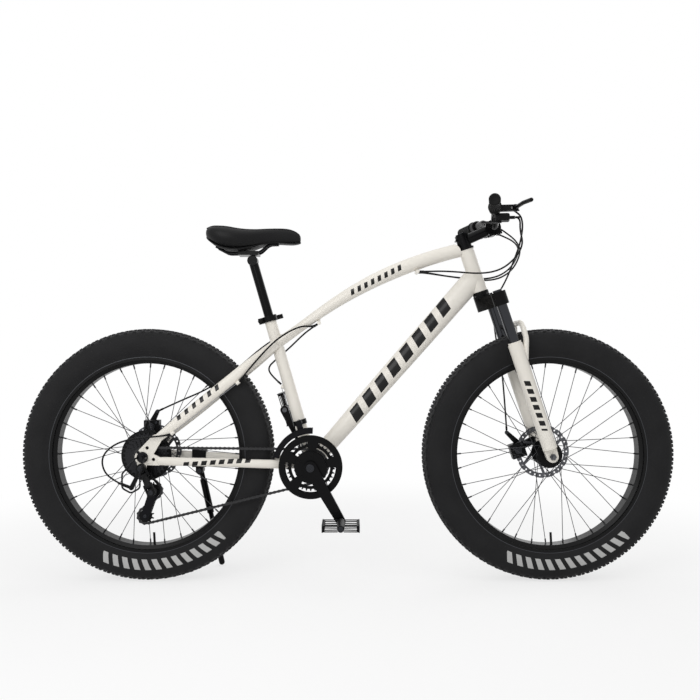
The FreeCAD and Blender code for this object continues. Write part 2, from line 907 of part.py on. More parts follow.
def knob_slot(centre, near, far):
    """Bar that parts two knobs of the row between two distances to the side."""
    pitch = math.tau * axle_height / knob_pitches
    low = min(tread_floor(abs(near)), tread_floor(abs(far)))
    margin = math.copysign(knob_slot_margin, far - near)
    slope = (tread_floor(abs(far)) - tread_floor(abs(near))) / (far - near) * margin
    inner = tread_floor(abs(near)) - slope + knob_skin
    outer = tread_floor(abs(far)) + slope + knob_skin
    top = axle_height + overrun
    section = polygon([centre + vec(inner, near - margin, 0), centre + vec(outer, far + margin, 0),
                       centre + vec(top, far + margin, 0), centre + vec(top, near - margin, 0)])
    width = pitch * knob_slot_share
    bar = section.extrude(vec(0, 0, width))
    bar.translate(vec(0, 0, -width * half_share))
    return bar


def knob_slots(centre):
    """Every other row has its knobs half a pitch on."""
    rows = [(-knob_half_centre, knob_half_centre)] + list(knob_rows)
    step = 360 / knob_pitches
    slots = []
    for number, (near, far) in enumerate(rows):
        bars = [knob_slot(centre, near, far)]
        if number:
            bars.append(knob_slot(centre, -near, -far))
        for turn in range(knob_pitches):
            angle = (turn + (number + 1) % 2 * half_share) * step
            slots += [bar.rotated(centre, side_axis, angle) for bar in bars]
    return Part.makeCompound(slots)


def rim_face(centre):
    def at(radius, side):
        return centre + vec(radius, side, 0)

    inner_side = rim_half_width - rim_wall
    under = rim_well_radius - rim_thickness
    shelf_under = bead_radius - rim_thickness
    half = [(flange_radius, rim_half_width), (flange_radius, inner_side), (bead_radius, inner_side),
            (bead_radius, rim_shelf), (rim_well_radius, rim_well_half)]
    back = [(under, rim_well_half + rim_thickness * half_share),
            (shelf_under, rim_shelf + rim_thickness * half_share), (shelf_under, rim_half_width)]
    points = [at(r, y) for r, y in half]
    points += [at(r, -y) for r, y in reversed(half)]
    points += [at(r, -y) for r, y in reversed(back)]
    points += [at(r, y) for r, y in back]
    return polygon(points)


def valve_line(centre):
    out = turn_vec(valve_angle)
    tube_low = (axle_height + bead_radius) * half_share - tube_radius
    top = centre + out * (tube_low + tube_wall * half_share)
    return top, centre + out * (rim_well_radius - rim_thickness - valve_length)


def build_tire(centre):
    return spun(tire_face(centre), centre).cut(knob_slots(centre))


def build_inner_tube(centre):
    middle = centre + vec((axle_height + bead_radius) * half_share - tube_wall, 0, 0)
    out = vec(1, 0, 0)
    outer = Part.Face(oval(middle, side_axis, out, tube_half_width, tube_radius - tube_wall))
    inner = Part.Face(oval(middle, side_axis, out, tube_half_width - tube_wall,
                           tube_radius - tube_wall * 2))
    ring = spun(outer.cut(inner), centre)
    low = middle.x - centre.x - tube_radius + tube_wall
    foot = centre + turn_vec(valve_angle) * (low + tube_wall * half_share)
    return ring.fuse(rod(foot, valve_line(centre)[1], valve_radius))


def build_rim(centre):
    start, end = valve_line(centre)
    return spun(rim_face(centre), centre).cut(rod(start, end, valve_radius + moving_gap))


def build_spokes(centre, right_side, left_side):
    step = 360 / spokes_per_side
    rim_radius = rim_well_radius - rim_thickness - nipple_gap
    spokes = []
    for flange_side, rim_side, offset in ((right_side, -spoke_rim_side, 0),
                                          (left_side, spoke_rim_side, step / 2)):
        for count in range(spokes_per_side):
            sign = 1 if count % 2 == 0 else -1
            angle = count * step + offset
            face = sign * (hub_flange_width / 2 + seat_gap)
            outside = sign * rim_side > 0
            out = face + sign * (spoke_radius + (spoke_elbow if outside else 0))
            hole = centre + turn_vec(angle) * hub_hole_radius + side_axis * flange_side
            start = hole + side_axis * out
            end = centre + turn_vec(angle + sign * spoke_cross * step) * rim_radius + side_axis * rim_side
            along = end - start
            along.normalize()
            nipple = rod(end - along * nipple_length, end, nipple_radius)
            parts = [nipple]
            if outside:
                parts.append(rod(hole + side_axis * face, start, spoke_radius))
            spokes.append(rod(start, end - along * overrun, spoke_radius).multiFuse(parts))
    return spokes


def build_hub(centre, right_side, left_side, rotor_side, half_length, driver=0):
    half_flange = hub_flange_width / 2
    seat = rotor_side - rotor_thickness / 2 - seat_gap
    shapes = [cross_rod(centre, -half_length, half_length, hub_end_radius)]
    shapes.append(cross_rod(centre, right_side, left_side, hub_barrel_radius))
    for side in (right_side, left_side):
        shapes.append(cross_rod(centre, side - half_flange, side + half_flange, hub_flange_radius))
    shapes.append(cross_rod(centre, left_side, seat, rotor_seat_radius))
    shapes.append(cross_rod(centre, seat, rotor_side + rotor_thickness / 2, rotor_pilot - seat_gap))
    if driver:
        shapes.append(cross_rod(centre, right_side, -half_length, driver))
    bore = cross_rod(centre, -half_length - overrun, half_length + overrun, axle_radius + running_gap)
    return ring_of(shapes).cut(bore)


def build_rotor(centre, side):
    near = side - rotor_thickness / 2
    far = side + rotor_thickness / 2
    band = cross_rod(centre, near, far, rotor_radius).cut(
        cross_rod(centre, near - overrun, far + overrun, rotor_radius - rotor_band))
    middle = cross_rod(centre, near, far, rotor_ring)
    arms = []
    depth = side_axis * rotor_thickness
    for count in range(rotor_arms):
        angle = count * 360 / rotor_arms
        start = centre + turn_vec(angle) * (rotor_ring - rotor_arm_half) + side_axis * near
        end = centre + turn_vec(angle + rotor_arm_sweep) * (rotor_radius - rotor_band + rotor_arm_half)
        arms.append(tapered_plate(start, end + side_axis * near, rotor_arm_half, rotor_arm_half, depth))
    body = band.multiFuse([middle] + arms)
    holes = [cross_rod(centre, near - overrun, far + overrun, rotor_pilot)]
    for count in range(rotor_holes):
        place = centre + turn_vec(count * 360 / rotor_holes) * (rotor_radius - rotor_band / 2)
        holes.append(cross_rod(place, near - overrun, far + overrun, rotor_hole_radius))
    for count in range(rotor_waves):
        out = rotor_radius + rotor_wave_radius - rotor_wave_depth
        place = centre + turn_vec((count + half_share) * 360 / rotor_waves) * out
        holes.append(cross_rod(place, near - overrun, far + overrun, rotor_wave_radius))
    body = body.cut(Part.makeCompound(holes))
    bolts = []
    for count in range(rotor_arms):
        place = centre + turn_vec(count * 360 / rotor_arms) * (rotor_ring * rotor_bolt_share)
        bolts.append(cross_rod(place, far, far + rotor_bolt_head, rotor_bolt_radius))
    return body.multiFuse(bolts)


def axle_rod(centre, shoulder):
    """Axle with a thinner tail past the nut at each end."""
    tail = shoulder + axle_tail
    return cross_rod(centre, -shoulder, shoulder, axle_radius).fuse(cross_rod(centre, -tail, tail,
                                                                              axle_tail_radius))


def build_front_axle():
    centre = front_axle_place
    outer = front_inner + dropout_depth
    solids = [axle_rod(centre, outer + nut_width)]
    for side in (-1, 1):
        solids.append(sleeve(centre + side_axis * (side * (front_hub_half + moving_gap)),
                             centre + side_axis * (side * (front_inner - seat_gap)),
                             cone_radius, axle_radius + seat_gap))
        solids.append(hexagon_nut(centre, side * (outer + seat_gap), side * (outer + nut_width),
                                  nut_radius, axle_radius + seat_gap))
    return solids


def build_rear_axle():
    centre = rear_axle_place
    outer = dropout_inner + dropout_thickness
    solids = [axle_rod(centre, outer + guard_washer_width + nut_width)]
    for side in (-1, 1):
        solids.append(sleeve(centre + side_axis * (side * (rear_hub_half + moving_gap + carrier_margin)),
                             centre + side_axis * (side * (dropout_inner - seat_gap)),
                             cone_radius, axle_radius + seat_gap))
        nut_inner = outer + seat_gap * 2 + guard_washer_width
        solids.append(hexagon_nut(centre, side * nut_inner, side * (outer + guard_washer_width + nut_width),
                                  nut_radius, axle_radius + seat_gap))
    left_washer = sleeve(centre + side_axis * (outer + seat_gap),
                         centre + side_axis * (outer + seat_gap + guard_washer_width),
                         guard_washer_radius, axle_radius + seat_gap)
    solids.append(left_washer)
    solids.append(build_guard(centre, outer + seat_gap))
    return solids


def build_guard(centre, inner):
    """Bent rod hoop outside the rear derailleur, on a washer under the right axle nut."""
    washer = sleeve(centre - side_axis * inner, centre - side_axis * (inner + guard_washer_width),
                    guard_washer_radius, axle_radius + seat_gap)
    middle = -guard_centre_back
    points = [(guard_root, 0, inner), (guard_root, 0, guard_side),
              (middle + guard_reach, -guard_top_drop, guard_side),
              (middle + guard_reach, -guard_corner_drop, guard_side),
              (middle, -guard_bottom_drop, guard_side),
              (middle - guard_reach, -guard_corner_drop, guard_side),
              (middle - guard_reach, -guard_top_drop, guard_side),
              (-guard_root, 0, guard_side), (-guard_root, 0, inner)]
    hoop = bent_rod([rear_at(a, b, -s) for a, b, s in points], guard_rod_radius, guard_bend)
    keep = cross_rod(centre, -inner, 0, guard_washer_radius * 2)
    nut_room = cross_rod(centre, -inner - guard_washer_width, -guard_side, nut_radius + moving_gap)
    return washer.fuse(hoop.cut(keep).cut(nut_room))


# Chain drive
def pitch_radius(teeth):
    return chain_pitch / (2 * math.sin(math.pi / teeth))


def sprocket(centre, teeth, side, phase, bore):
    """Toothed disc; phase is the angle in degrees of a gap between teeth."""
    radius = pitch_radius(teeth)
    steps = ((radius - tooth_root_drop, tooth_root_share), (radius, tooth_pitch_share),
             (radius + tooth_tip_rise, tooth_tip_share))
    half = 180 / teeth
    points = []
    for tooth in range(teeth):
        middle = phase + (2 * tooth + 1) * half
        for out, share in steps:
            points.append(centre + turn_vec(middle - share * half) * out)
        for out, share in reversed(steps):
            points.append(centre + turn_vec(middle + share * half) * out)
    near = side_axis * (side - tooth_thickness / 2)
    face = polygon([point + near for point in points])
    disc = face.extrude(side_axis * tooth_thickness)
    return disc.cut(cross_rod(centre, side - overrun, side + overrun, bore))


def cog_side(count):
    return small_cog_side + count * cog_spacing


hanger_place = rear_at(-hanger_back, -hanger_drop)
rd_along = turn_vec(rd_angle)
rd_lift = turn_vec(rd_angle + 90)
rd_link_run = math.sqrt(rd_link_length ** 2 - rd_link_offset ** 2)
rd_first = hanger_place + rd_along * rd_base_arm + side_axis * rd_link_side
rd_second = rd_first + rd_along * rd_link_run - side_axis * rd_link_offset
guide_place = hanger_place + rd_along * (rd_base_arm + rd_link_run + rd_cage_arm)


def chain_circles(cage_angle):
    """Centre, tooth count and turning sense of the four toothed wheels, in the chain's order."""
    tension = guide_place + turn_vec(cage_angle) * rd_cage_length
    return [(rear_axle_place, cog_teeth[cog_in_use], 1), (bracket, ring_teeth[0], 1),
            (tension, pulley_teeth, 1), (guide_place, pulley_teeth, -1)]


def chain_route(cage_angle):
    """Per wheel: travel angle in and out; and the length of each straight run, in links."""
    circles = chain_circles(cage_angle)
    count = len(circles)
    slopes = []
    runs = []
    for index in range(count):
        place, teeth, sense = circles[index]
        after, after_teeth, after_sense = circles[(index + 1) % count]
        gap = after - place
        offset = sense * pitch_radius(teeth) - after_sense * pitch_radius(after_teeth)
        slope = math.atan2(gap.z, gap.x) - math.asin(offset / gap.Length)
        slopes.append(slope)
        runs.append(math.sqrt(gap.Length ** 2 - offset ** 2) / chain_pitch)
    wraps = []
    for index in range(count):
        place, teeth, sense = circles[index]
        turn = (sense * (slopes[index - 1] - slopes[index])) % (2 * math.pi)
        wraps.append(turn * teeth / (2 * math.pi))
    return circles, slopes, runs, wraps


def chain_count(cage_angle):
    circles, slopes, runs, wraps = chain_route(cage_angle)
    return sum(runs) + sum(wraps)


def solve_cage_angle():
    """Cage angle at which the chain is a whole number of links."""
    low, high = cage_angle_limits
    for step in range(cage_angle_halvings):
        middle = (low + high) / 2
        if (chain_count(middle) > chain_links) == (chain_count(low) > chain_links):
            low = middle
        else:
            high = middle
    return (low + high) / 2


cage_angle = solve_cage_angle()
tension_place = guide_place + turn_vec(cage_angle) * rd_cage_length


def chain_points():
    """Centre of each chain pin, and the gap phase of each toothed wheel."""
    circles, slopes, runs, wraps = chain_route(cage_angle)
    rear_side = cog_side(cog_in_use)
    sides = [rear_side, ring_sides[0], rear_side, rear_side]
    points = []
    phases = []
    travelled = 0.0
    total = sum(runs) + sum(wraps)
    number = 0
    spans = []
    for index, (place, teeth, sense) in enumerate(circles):
        spans.append(("wrap", index, travelled, wraps[index]))
        travelled += wraps[index]
        spans.append(("run", index, travelled, runs[index]))
        travelled += runs[index]
    scale = total / chain_links
    for kind, index, start, length in spans:
        place, teeth, sense = circles[index]
        slope_in = slopes[index - 1]
        slope = slopes[index]
        radius = pitch_radius(teeth)
        if kind == "wrap":
            first = math.degrees(slope_in) + sense * 90
            phases.append(first + sense * (start / scale) * 360 / teeth)
        while number < chain_links and number * scale < start + length - count_tolerance:
            along = number * scale - start
            if kind == "wrap":
                angle = first - sense * along * 360 / teeth
                points.append(place + turn_vec(angle) * radius + side_axis * sides[index])
            else:
                after = (index + 1) % len(circles)
                share = along / length
                ease = share * share * (3 - 2 * share)
                side = sides[index] + ease * (sides[after] - sides[index])
                out = turn_vec(math.degrees(slope) + sense * 90) * radius
                ahead = turn_vec(math.degrees(slope)) * (along * chain_pitch)
                points.append(place + out + ahead + side_axis * side)
            number += 1
    return points, phases


pin_places, gap_phases = chain_points()


def chain_plate(low):
    """Waisted link plate lying across the chain between low and low plus its thickness."""
    half = chain_pitch / 2
    waist = plate_half_height * plate_waist_share
    depth = side_axis * link_plate_thickness
    left = vec(-half, low, 0)
    right = vec(half, low, 0)
    tall = vec(0, 0, plate_half_height)
    return outline(left + tall, [vec(0, low, waist), right + tall],
                   [right + vec(plate_half_height, 0, 0), right - tall],
                   [vec(0, low, -waist), left - tall],
                   [left - vec(plate_half_height, 0, 0), left + tall]).extrude(depth)


def chain_link(outer):
    """One link with its pins (outer) or rollers (inner)."""
    half = chain_pitch / 2
    low = inner_half_width
    if outer:
        low += link_plate_thickness + link_play
    plates = [chain_plate(low), chain_plate(-low - link_plate_thickness)]
    ends = []
    for x in (-half, half):
        if outer:
            reach = low + link_plate_thickness + pin_tail
            ends.append(rod(vec(x, -reach, 0), vec(x, reach, 0), chain_pin_radius))
        else:
            ends.append(rod(vec(x, -low, 0), vec(x, low, 0), roller_radius))
    link = plates[0].multiFuse([plates[1]] + ends)
    if not outer:
        for x in (-half, half):
            reach = low + link_plate_thickness + overrun
            link = link.cut(rod(vec(x, -reach, 0), vec(x, reach, 0), roller_bore))
    return link


def build_chain():
    patterns = [chain_link(False), chain_link(True)]
    links = []
    for index, start in enumerate(pin_places):
        end = pin_places[(index + 1) % len(pin_places)]
        along = end - start
        along.normalize()
        upward = along.cross(side_axis)
        upward.normalize()
        turn = FreeCAD.Rotation(along, upward.cross(along), upward, "XYZ")
        link = patterns[index % 2].copy()
        link.Placement = FreeCAD.Placement((start + end) * half_share, turn)
        links.append(link)
    return links


def build_freewheel():
    centre = rear_axle_place
    last = len(cog_teeth) - 1
    outer = cog_side(0) - carrier_margin
    inner = cog_side(last) + carrier_margin
    solids = [sleeve(centre + side_axis * outer, centre + side_axis * inner,
                     carrier_radius, driver_radius + running_gap)]
    for count, teeth in enumerate(cog_teeth):
        phase = gap_phases[0] if count == cog_in_use else 0
        solids.append(sprocket(centre, teeth, cog_side(count), phase, carrier_radius + seat_gap))
    return solids


def spider_angles():
    return [crank_angle + count * 360 / spider_arms for count in range(spider_arms)]


def rivet_holes(near, far):
    return Part.makeCompound([cross_rod(bracket + turn_vec(angle) * rivet_circle, near, far,
                                        rivet_radius + seat_gap) for angle in spider_angles()])


def windows(near, far, inner, outer):
    """Five openings between the arms, as one cutting shape."""
    shapes = []
    for angle in spider_angles():
        middle = angle + 180 / spider_arms
        edge = side_axis * near

        def at(radius, turn):
            return bracket + turn_vec(middle + turn) * radius + edge

        face = outline(at(inner, -window_half_angle), [at(inner, 0), at(inner, window_half_angle)],
                       [at(outer, window_half_angle)], [at(outer, 0), at(outer, -window_half_angle)],
                       [at(inner, -window_half_angle)])
        shapes.append(face.extrude(side_axis * (far - near)))
    return Part.makeCompound(shapes)


def build_chainrings():
    solids = []
    for count, (teeth, side) in enumerate(zip(ring_teeth, ring_sides)):
        phase = gap_phases[1] if count == 0 else 0
        ring = sprocket(bracket, teeth, side, phase, ring_bore)
        ring = ring.cut(rivet_holes(side - overrun, side + overrun))
        if count > 0:
            outer = pitch_radius(teeth) - tooth_root_drop - ring_window_wall
            ring = ring.cut(windows(side - overrun, side + overrun, ring_window_inner, outer))
        solids.append(ring)
    near = -guard_inner_side
    far = near - guard_thickness
    guard = sleeve(bracket + side_axis * near, bracket + side_axis * far, guard_radius, ring_bore)
    guard = guard.cut(windows(far - overrun, near + overrun, ring_window_inner, guard_radius - guard_band))
    solids.append(guard.cut(rivet_holes(far - overrun, near + overrun)))
    head = -spider_inner - spider_thickness - seat_gap
    for angle in spider_angles():
        place = bracket + turn_vec(angle) * rivet_circle
        shank = cross_rod(place, head, ring_sides[0] + tooth_thickness, rivet_radius)
        solids.append(shank.fuse(cross_rod(place, head - rivet_head_height, head, rivet_head_radius)))
    return solids


def crank_arm(side):
    """Crank arm of one side with its boss; the right one carries the spider."""
    out = turn_vec(crank_angle) * (-side)
    pedal = bracket + out * crank_length
    inner = side_axis * (crank_arm_inner * side)
    arm = tapered_plate(bracket + inner, pedal + inner, crank_boss_radius, crank_end_radius,
                        side_axis * (crank_arm_thickness * side))
    arm = arm.fuse(cross_rod(bracket, spider_inner * side, (crank_arm_inner + crank_arm_thickness) * side,
                             crank_boss_radius))
    near = (spider_inner - overrun) * side
    far = (crank_arm_inner + crank_arm_thickness + overrun) * side
    if side < 0:
        outer = spider_inner + spider_thickness
        arm = arm.fuse(cross_rod(bracket, spider_inner * side, outer * side, spider_radius))
        arm = arm.cut(rivet_holes(-outer - overrun / 2, -spider_inner + overrun))
    arm = arm.cut(cross_rod(bracket, near, far, spindle_radius + seat_gap))
    return arm.cut(cross_rod(pedal, near, far, pedal_axle_root + seat_gap))


def pedal_place(side):
    return bracket + turn_vec(crank_angle) * (-side * crank_length)


def build_spindle():
    end = crank_arm_inner + crank_arm_thickness
    solids = [cross_rod(bracket, -end, end, spindle_radius)]
    for side in (-1, 1):
        solids.append(cross_rod(bracket, side * (end + seat_gap), side * (end + dust_cap_height),
                                dust_cap_radius))
        place = pedal_place(side)
        start = crank_arm_inner * side
        collar = (end + seat_gap) * side
        root = cross_rod(place, start, collar, pedal_axle_root)
        shoulder = cross_rod(place, collar, (end + pedal_collar_width) * side, pedal_collar_radius)
        tip = (end + pedal_collar_width + pedal_width - pedal_rib_width) * side
        solids.append(root.multiFuse([shoulder, cross_rod(place, collar, tip, pedal_axle_radius)]))
    return solids


def build_pedal(side):
    """Pedal body lying level about its axle: barrel, two ribs and two toothed bars."""
    place = pedal_place(side)
    start = crank_arm_inner + crank_arm_thickness + pedal_collar_width + moving_gap
    end = start + pedal_width
    body = [cross_rod(place, side * start, side * end, pedal_barrel_radius)]
    rib_half = pedal_half_height * pedal_rib_share
    low_y = min(side * start, side * end)
    high_y = max(side * start, side * end)
    middle = (low_y + high_y) / 2
    for y in (low_y, middle - pedal_rib_width / 2, high_y - pedal_rib_width):
        body.append(box_between(place + vec(-pedal_half_length, y, -rib_half),
                                place + vec(pedal_half_length, y + pedal_rib_width, rib_half)))
    notches = []
    pitch = pedal_width / pedal_teeth
    for ahead in (-1, 1):
        inner = ahead * (pedal_half_length - pedal_bar_thickness)
        low_x = min(inner, ahead * pedal_half_length)
        body.append(box_between(place + vec(low_x, low_y, -pedal_half_height),
                                place + vec(low_x + pedal_bar_thickness, high_y, pedal_half_height)))
        for count in range(1, pedal_teeth):
            y = low_y + count * pitch
            for level in (-1, 1):
                edge = level * pedal_half_height
                notches.append(box_between(
                    place + vec(low_x - overrun, y - pitch * quarter_share, edge - pedal_notch_depth),
                    place + vec(low_x + pedal_bar_thickness + overrun, y + pitch * quarter_share,
                                edge + pedal_notch_depth)))
    pedal = body[0].multiFuse(body[1:]).cut(Part.makeCompound(notches))
    pedal = pedal.cut(cross_rod(place, side * (start - overrun), side * (end - pedal_rib_width / 2),
                                pedal_axle_radius + running_gap))
    if side > 0:
        pedal.rotate(place, side_axis, left_pedal_turn)
    return max(pedal.Solids, key=lambda solid: solid.Volume)


# Front derailleur
fd_middle = ring_sides[0]


def build_fd_base():
    low = fd_height - fd_band_width / 2
    high = fd_height + fd_band_width / 2
    band = rod(seat_at(low), seat_at(high), seat_tube_radius + fd_band_thickness)
    block = rod(seat_at(fd_height), seat_at(fd_height, 0, -fd_block_outer), fd_block_half)
    body = band.fuse(block)
    body = body.cut(rod(seat_at(low - fd_block_half), seat_at(high + fd_block_half),
                        seat_tube_radius + seat_gap))
    for offset in (-fd_rod_offset, fd_rod_offset):
        body = body.cut(rod(seat_at(fd_height, offset, -fd_rod_inner + overrun),
                            seat_at(fd_height, offset, -fd_block_outer - overrun),
                            fd_rod_radius + running_gap))
    return max(body.Solids, key=lambda solid: solid.Volume)


def fd_plate(near):
    first, last = fd_cage_angles
    middle = (first + last) / 2
    edge = side_axis * near

    def at(radius, angle):
        return bracket + turn_vec(angle) * radius + edge

    face = outline(at(fd_cage_inner_radius, first),
                   [at(fd_cage_inner_radius, middle), at(fd_cage_inner_radius, last)],
                   [at(fd_cage_outer_radius, last)],
                   [at(fd_cage_outer_radius, middle), at(fd_cage_outer_radius, first)],
                   [at(fd_cage_inner_radius, first)])
    return face.extrude(side_axis * fd_plate_thickness)


def build_fd_cage():
    inner = fd_middle + fd_cage_half_gap
    outer = fd_middle - fd_cage_half_gap
    shapes = [fd_plate(inner), fd_plate(outer - fd_plate_thickness)]
    mid_radius = (fd_cage_inner_radius + fd_cage_outer_radius) / 2
    for angle, radius in ((fd_cage_angles[0] + fd_bridge_turn, fd_cage_outer_radius - fd_bridge_radius),
                          (fd_cage_angles[1] - fd_bridge_turn, mid_radius)):
        place = bracket + turn_vec(angle) * radius
        shapes.append(cross_rod(place, inner + fd_plate_thickness, outer - fd_plate_thickness,
                                fd_bridge_radius))
    corners = []
    top = fd_height + fd_block_half
    low = fd_cage_outer_radius - fd_bridge_radius * 2
    for forward, up in ((-fd_carrier_half, low), (fd_carrier_half, low), (fd_carrier_half, top),
                        (-fd_carrier_half, top)):
        corners.append(seat_at(up, forward, inner))
    shapes.append(polygon(corners).extrude(side_axis * fd_plate_thickness * 2))
    for offset in (-fd_rod_offset, fd_rod_offset):
        shapes.append(rod(seat_at(fd_height, offset, inner + fd_plate_thickness),
                          seat_at(fd_height, offset, -fd_rod_inner), fd_rod_radius))
    return ring_of(shapes)


# Rear derailleur
def ears(place, end):
    """Two ears and their pin holding one end of the derailleur link."""
    shapes = []
    inner = rd_link_half + moving_gap
    for sign in (-1, 1):
        base = rd_lift * (sign * inner)
        depth = rd_lift * (sign * rd_ear_width)
        shapes.append(tapered_plate(place + base, end + base, rd_ear_radius, rd_ear_radius, depth))
    reach = rd_lift * (inner + rd_ear_width)
    shapes.append(rod(place - reach, place + reach, rd_pin_radius))
    return shapes


def build_rd_base():
    outer = -dropout_inner - dropout_thickness
    knuckle = cross_rod(hanger_place, outer - seat_gap, outer - rd_base_width, rd_knuckle_radius)
    bolt = cross_rod(hanger_place, -dropout_inner, outer - rd_base_width, hanger_hole)
    root = hanger_place + side_axis * rd_link_side
    barrel = rod(vec(*rd_barrel_root), vec(*rd_barrel_end), rd_barrel_radius)
    arm = tapered_plate(root + side_axis * rd_link_half / 2,
                        vec(rd_barrel_root[0], root.y, rd_barrel_root[2])
                        + side_axis * rd_link_half / 2, rd_arm_radii[0], rd_arm_radii[1],
                        -side_axis * rd_link_half)
    return ring_of([knuckle, bolt, arm, barrel] + ears(rd_first, root))


def build_rd_link():
    low = rd_lift * (-rd_link_half)
    link = tapered_plate(rd_first + low, rd_second + low, rd_link_radius, rd_link_radius,
                         rd_lift * (rd_link_half * 2))
    for place in (rd_first, rd_second):
        reach = rd_lift * (rd_link_half + overrun)
        link = link.cut(rod(place - reach, place + reach, rd_pin_radius + running_gap))
    return link


def cage_side():
    return cog_side(cog_in_use)


def build_rd_knuckle():
    outer_plate = cage_side() - rd_cage_half_gap - rd_plate
    start = outer_plate - moving_gap
    body = cross_rod(guide_place, start, rd_knuckle_outer, rd_p_radius)
    root = guide_place + side_axis * rd_second.y
    body = ring_of([body] + ears(rd_second, root))
    bore = cross_rod(guide_place, start + overrun, start - rd_pivot_depth, rd_pivot_radius + running_gap)
    return body.cut(bore)


def build_rd_cage():
    side = cage_side()
    shapes = []
    for sign in (-1, 1):
        base = side_axis * (side + sign * rd_cage_half_gap)
        shapes.append(tapered_plate(guide_place + base, tension_place + base, rd_cage_radii[0],
                                    rd_cage_radii[1],
                                    side_axis * (sign * rd_plate)))
    reach = rd_cage_half_gap + rd_plate
    for place in (guide_place, tension_place):
        shapes.append(cross_rod(place, side - reach, side + reach, rd_bolt_radius))
    pivot_end = side - reach - rd_pivot_depth + moving_gap
    shapes.append(cross_rod(guide_place, side - rd_cage_half_gap - rd_plate * half_share, pivot_end,
                            rd_pivot_radius))
    return ring_of(shapes)


def build_pulley(place, phase):
    side = cage_side()
    bore = rd_bolt_radius + running_gap
    hub = sleeve(place + side_axis * (side - pulley_hub_half), place + side_axis * (side + pulley_hub_half),
                 pulley_hub_radius, bore)
    return sprocket(place, pulley_teeth, side, phase, bore).fuse(hub)


# Seat group
def build_seat_clamp():
    inner = seat_tube_radius + seat_gap
    outer = inner + collar_thickness
    ring = rod(seat_at(collar_bottom), seat_at(collar_top), outer)
    corners = [seat_at(up, -back, ear_half) for back, up in
               ((inner, collar_bottom), (ear_back, collar_bottom), (ear_back, collar_top),
                (inner, collar_top))]
    ear = polygon(corners).extrude(side_axis * (-ear_half * 2))
    slit_corners = [seat_at(up, -back, ear_slit) for back, up in
                    ((0, collar_bottom - overrun), (ear_back + overrun, collar_bottom - overrun),
                     (ear_back + overrun, collar_top + overrun), (0, collar_top + overrun))]
    slit = polygon(slit_corners).extrude(side_axis * (-ear_slit * 2))
    collar = ring.fuse(ear).cut(slit)
    collar = collar.cut(rod(seat_at(collar_bottom - overrun), seat_at(seat_tube_length), inner))
    collar = collar.cut(rod(seat_at(seat_tube_length - overrun), seat_at(collar_top + overrun),
                            post_radius + collar_lip))
    middle = (collar_bottom + collar_top) / 2
    right = seat_at(middle, -skewer_back, -skewer_nut_side)
    left = seat_at(middle, -skewer_back, lever_side)
    collar = collar.cut(rod(right, left, skewer_radius + seat_gap))
    skewer = rod(right, left, skewer_radius)
    nut = rod(right, seat_at(middle, -skewer_back, -ear_half - seat_gap), skewer_nut_radius)
    pin = rod(left - seat_up * lever_half_height, left + seat_up * lever_half_height, lever_pin_radius)
    return collar, skewer.multiFuse([nut, pin])


def build_clamp_lever():
    middle = (collar_bottom + collar_top) / 2
    low = seat_at(middle - lever_half_height, -skewer_back, lever_side)
    turn = math.radians(lever_turn)
    ahead = seat_front * math.cos(turn) + side_axis * math.sin(turn)
    lever = tapered_plate(low, low + ahead * lever_length, lever_root_radius, lever_tip_radius,
                          seat_up * (lever_half_height * 2))
    groove = rod(seat_at(middle - lever_groove_half, -skewer_back, lever_side),
                 seat_at(middle + lever_groove_half, -skewer_back, lever_side),
                 lever_root_radius + moving_gap)
    bore = rod(low - seat_up * overrun, low + seat_up * (lever_half_height * 2 + overrun),
               lever_pin_radius + running_gap)
    return lever.cut(groove).cut(bore)


def rails():
    solids = []
    for side in (-1, 1):
        points = [vec(x, y * side, z) for x, y, z in rail_points]
        solids.append(bent_rod(points, rail_radius, rail_bend))
    return solids


def build_seatpost(rail_solids):
    head = seat_at(post_head_up)
    post = rod(seat_at(post_bottom), seat_at(post_top), post_radius)
    barrel = rod(head - side_axis * post_head_half, head + side_axis * post_head_half, post_head_radius)
    post = post.fuse(barrel)
    low = head.z + post_head_radius + clamp_bottom_gap
    cradle = box_between(vec(clamp_back, -clamp_half_width, low),
                         vec(clamp_front, clamp_half_width, clamp_top))
    for points in rail_solids:
        cradle = cradle.cut(points)
    return post, max(cradle.Solids, key=lambda solid: solid.Volume)


def saddle_pad_wire(x, half, top, bottom):
    rise = top - bottom
    foot = half * saddle_edge_share
    side_z = bottom + rise * saddle_side_share
    shoulder = half * saddle_shoulder_shares[0]
    shoulder_z = bottom + rise * saddle_shoulder_shares[1]
    edges = [Part.LineSegment(vec(x, -foot, bottom), vec(x, foot, bottom)),
             Part.Arc(vec(x, foot, bottom), vec(x, half, side_z), vec(x, shoulder, shoulder_z)),
             Part.Arc(vec(x, shoulder, shoulder_z), vec(x, 0, top), vec(x, -shoulder, shoulder_z)),
             Part.Arc(vec(x, -shoulder, shoulder_z), vec(x, -half, side_z), vec(x, -foot, bottom))]
    return Part.Wire([edge.toShape() for edge in edges])


def build_saddle_pad():
    wires = [saddle_pad_wire(*values) for values in zip(saddle_places, saddle_halves, saddle_tops,
                                                        saddle_bottoms)]
    return Part.makeLoft(wires, True, False)


def build_saddle_base():
    wires = []
    for x, half, bottom in zip(saddle_places, saddle_halves, saddle_bottoms):
        wide = half * saddle_base_share
        high = bottom - saddle_base_gap
        low = high - saddle_base_thickness
        wires.append(Part.makePolygon([vec(x, -wide, low), vec(x, wide, low), vec(x, wide, high),
                                       vec(x, -wide, high), vec(x, -wide, low)]))
    return Part.makeLoft(wires, True, False)


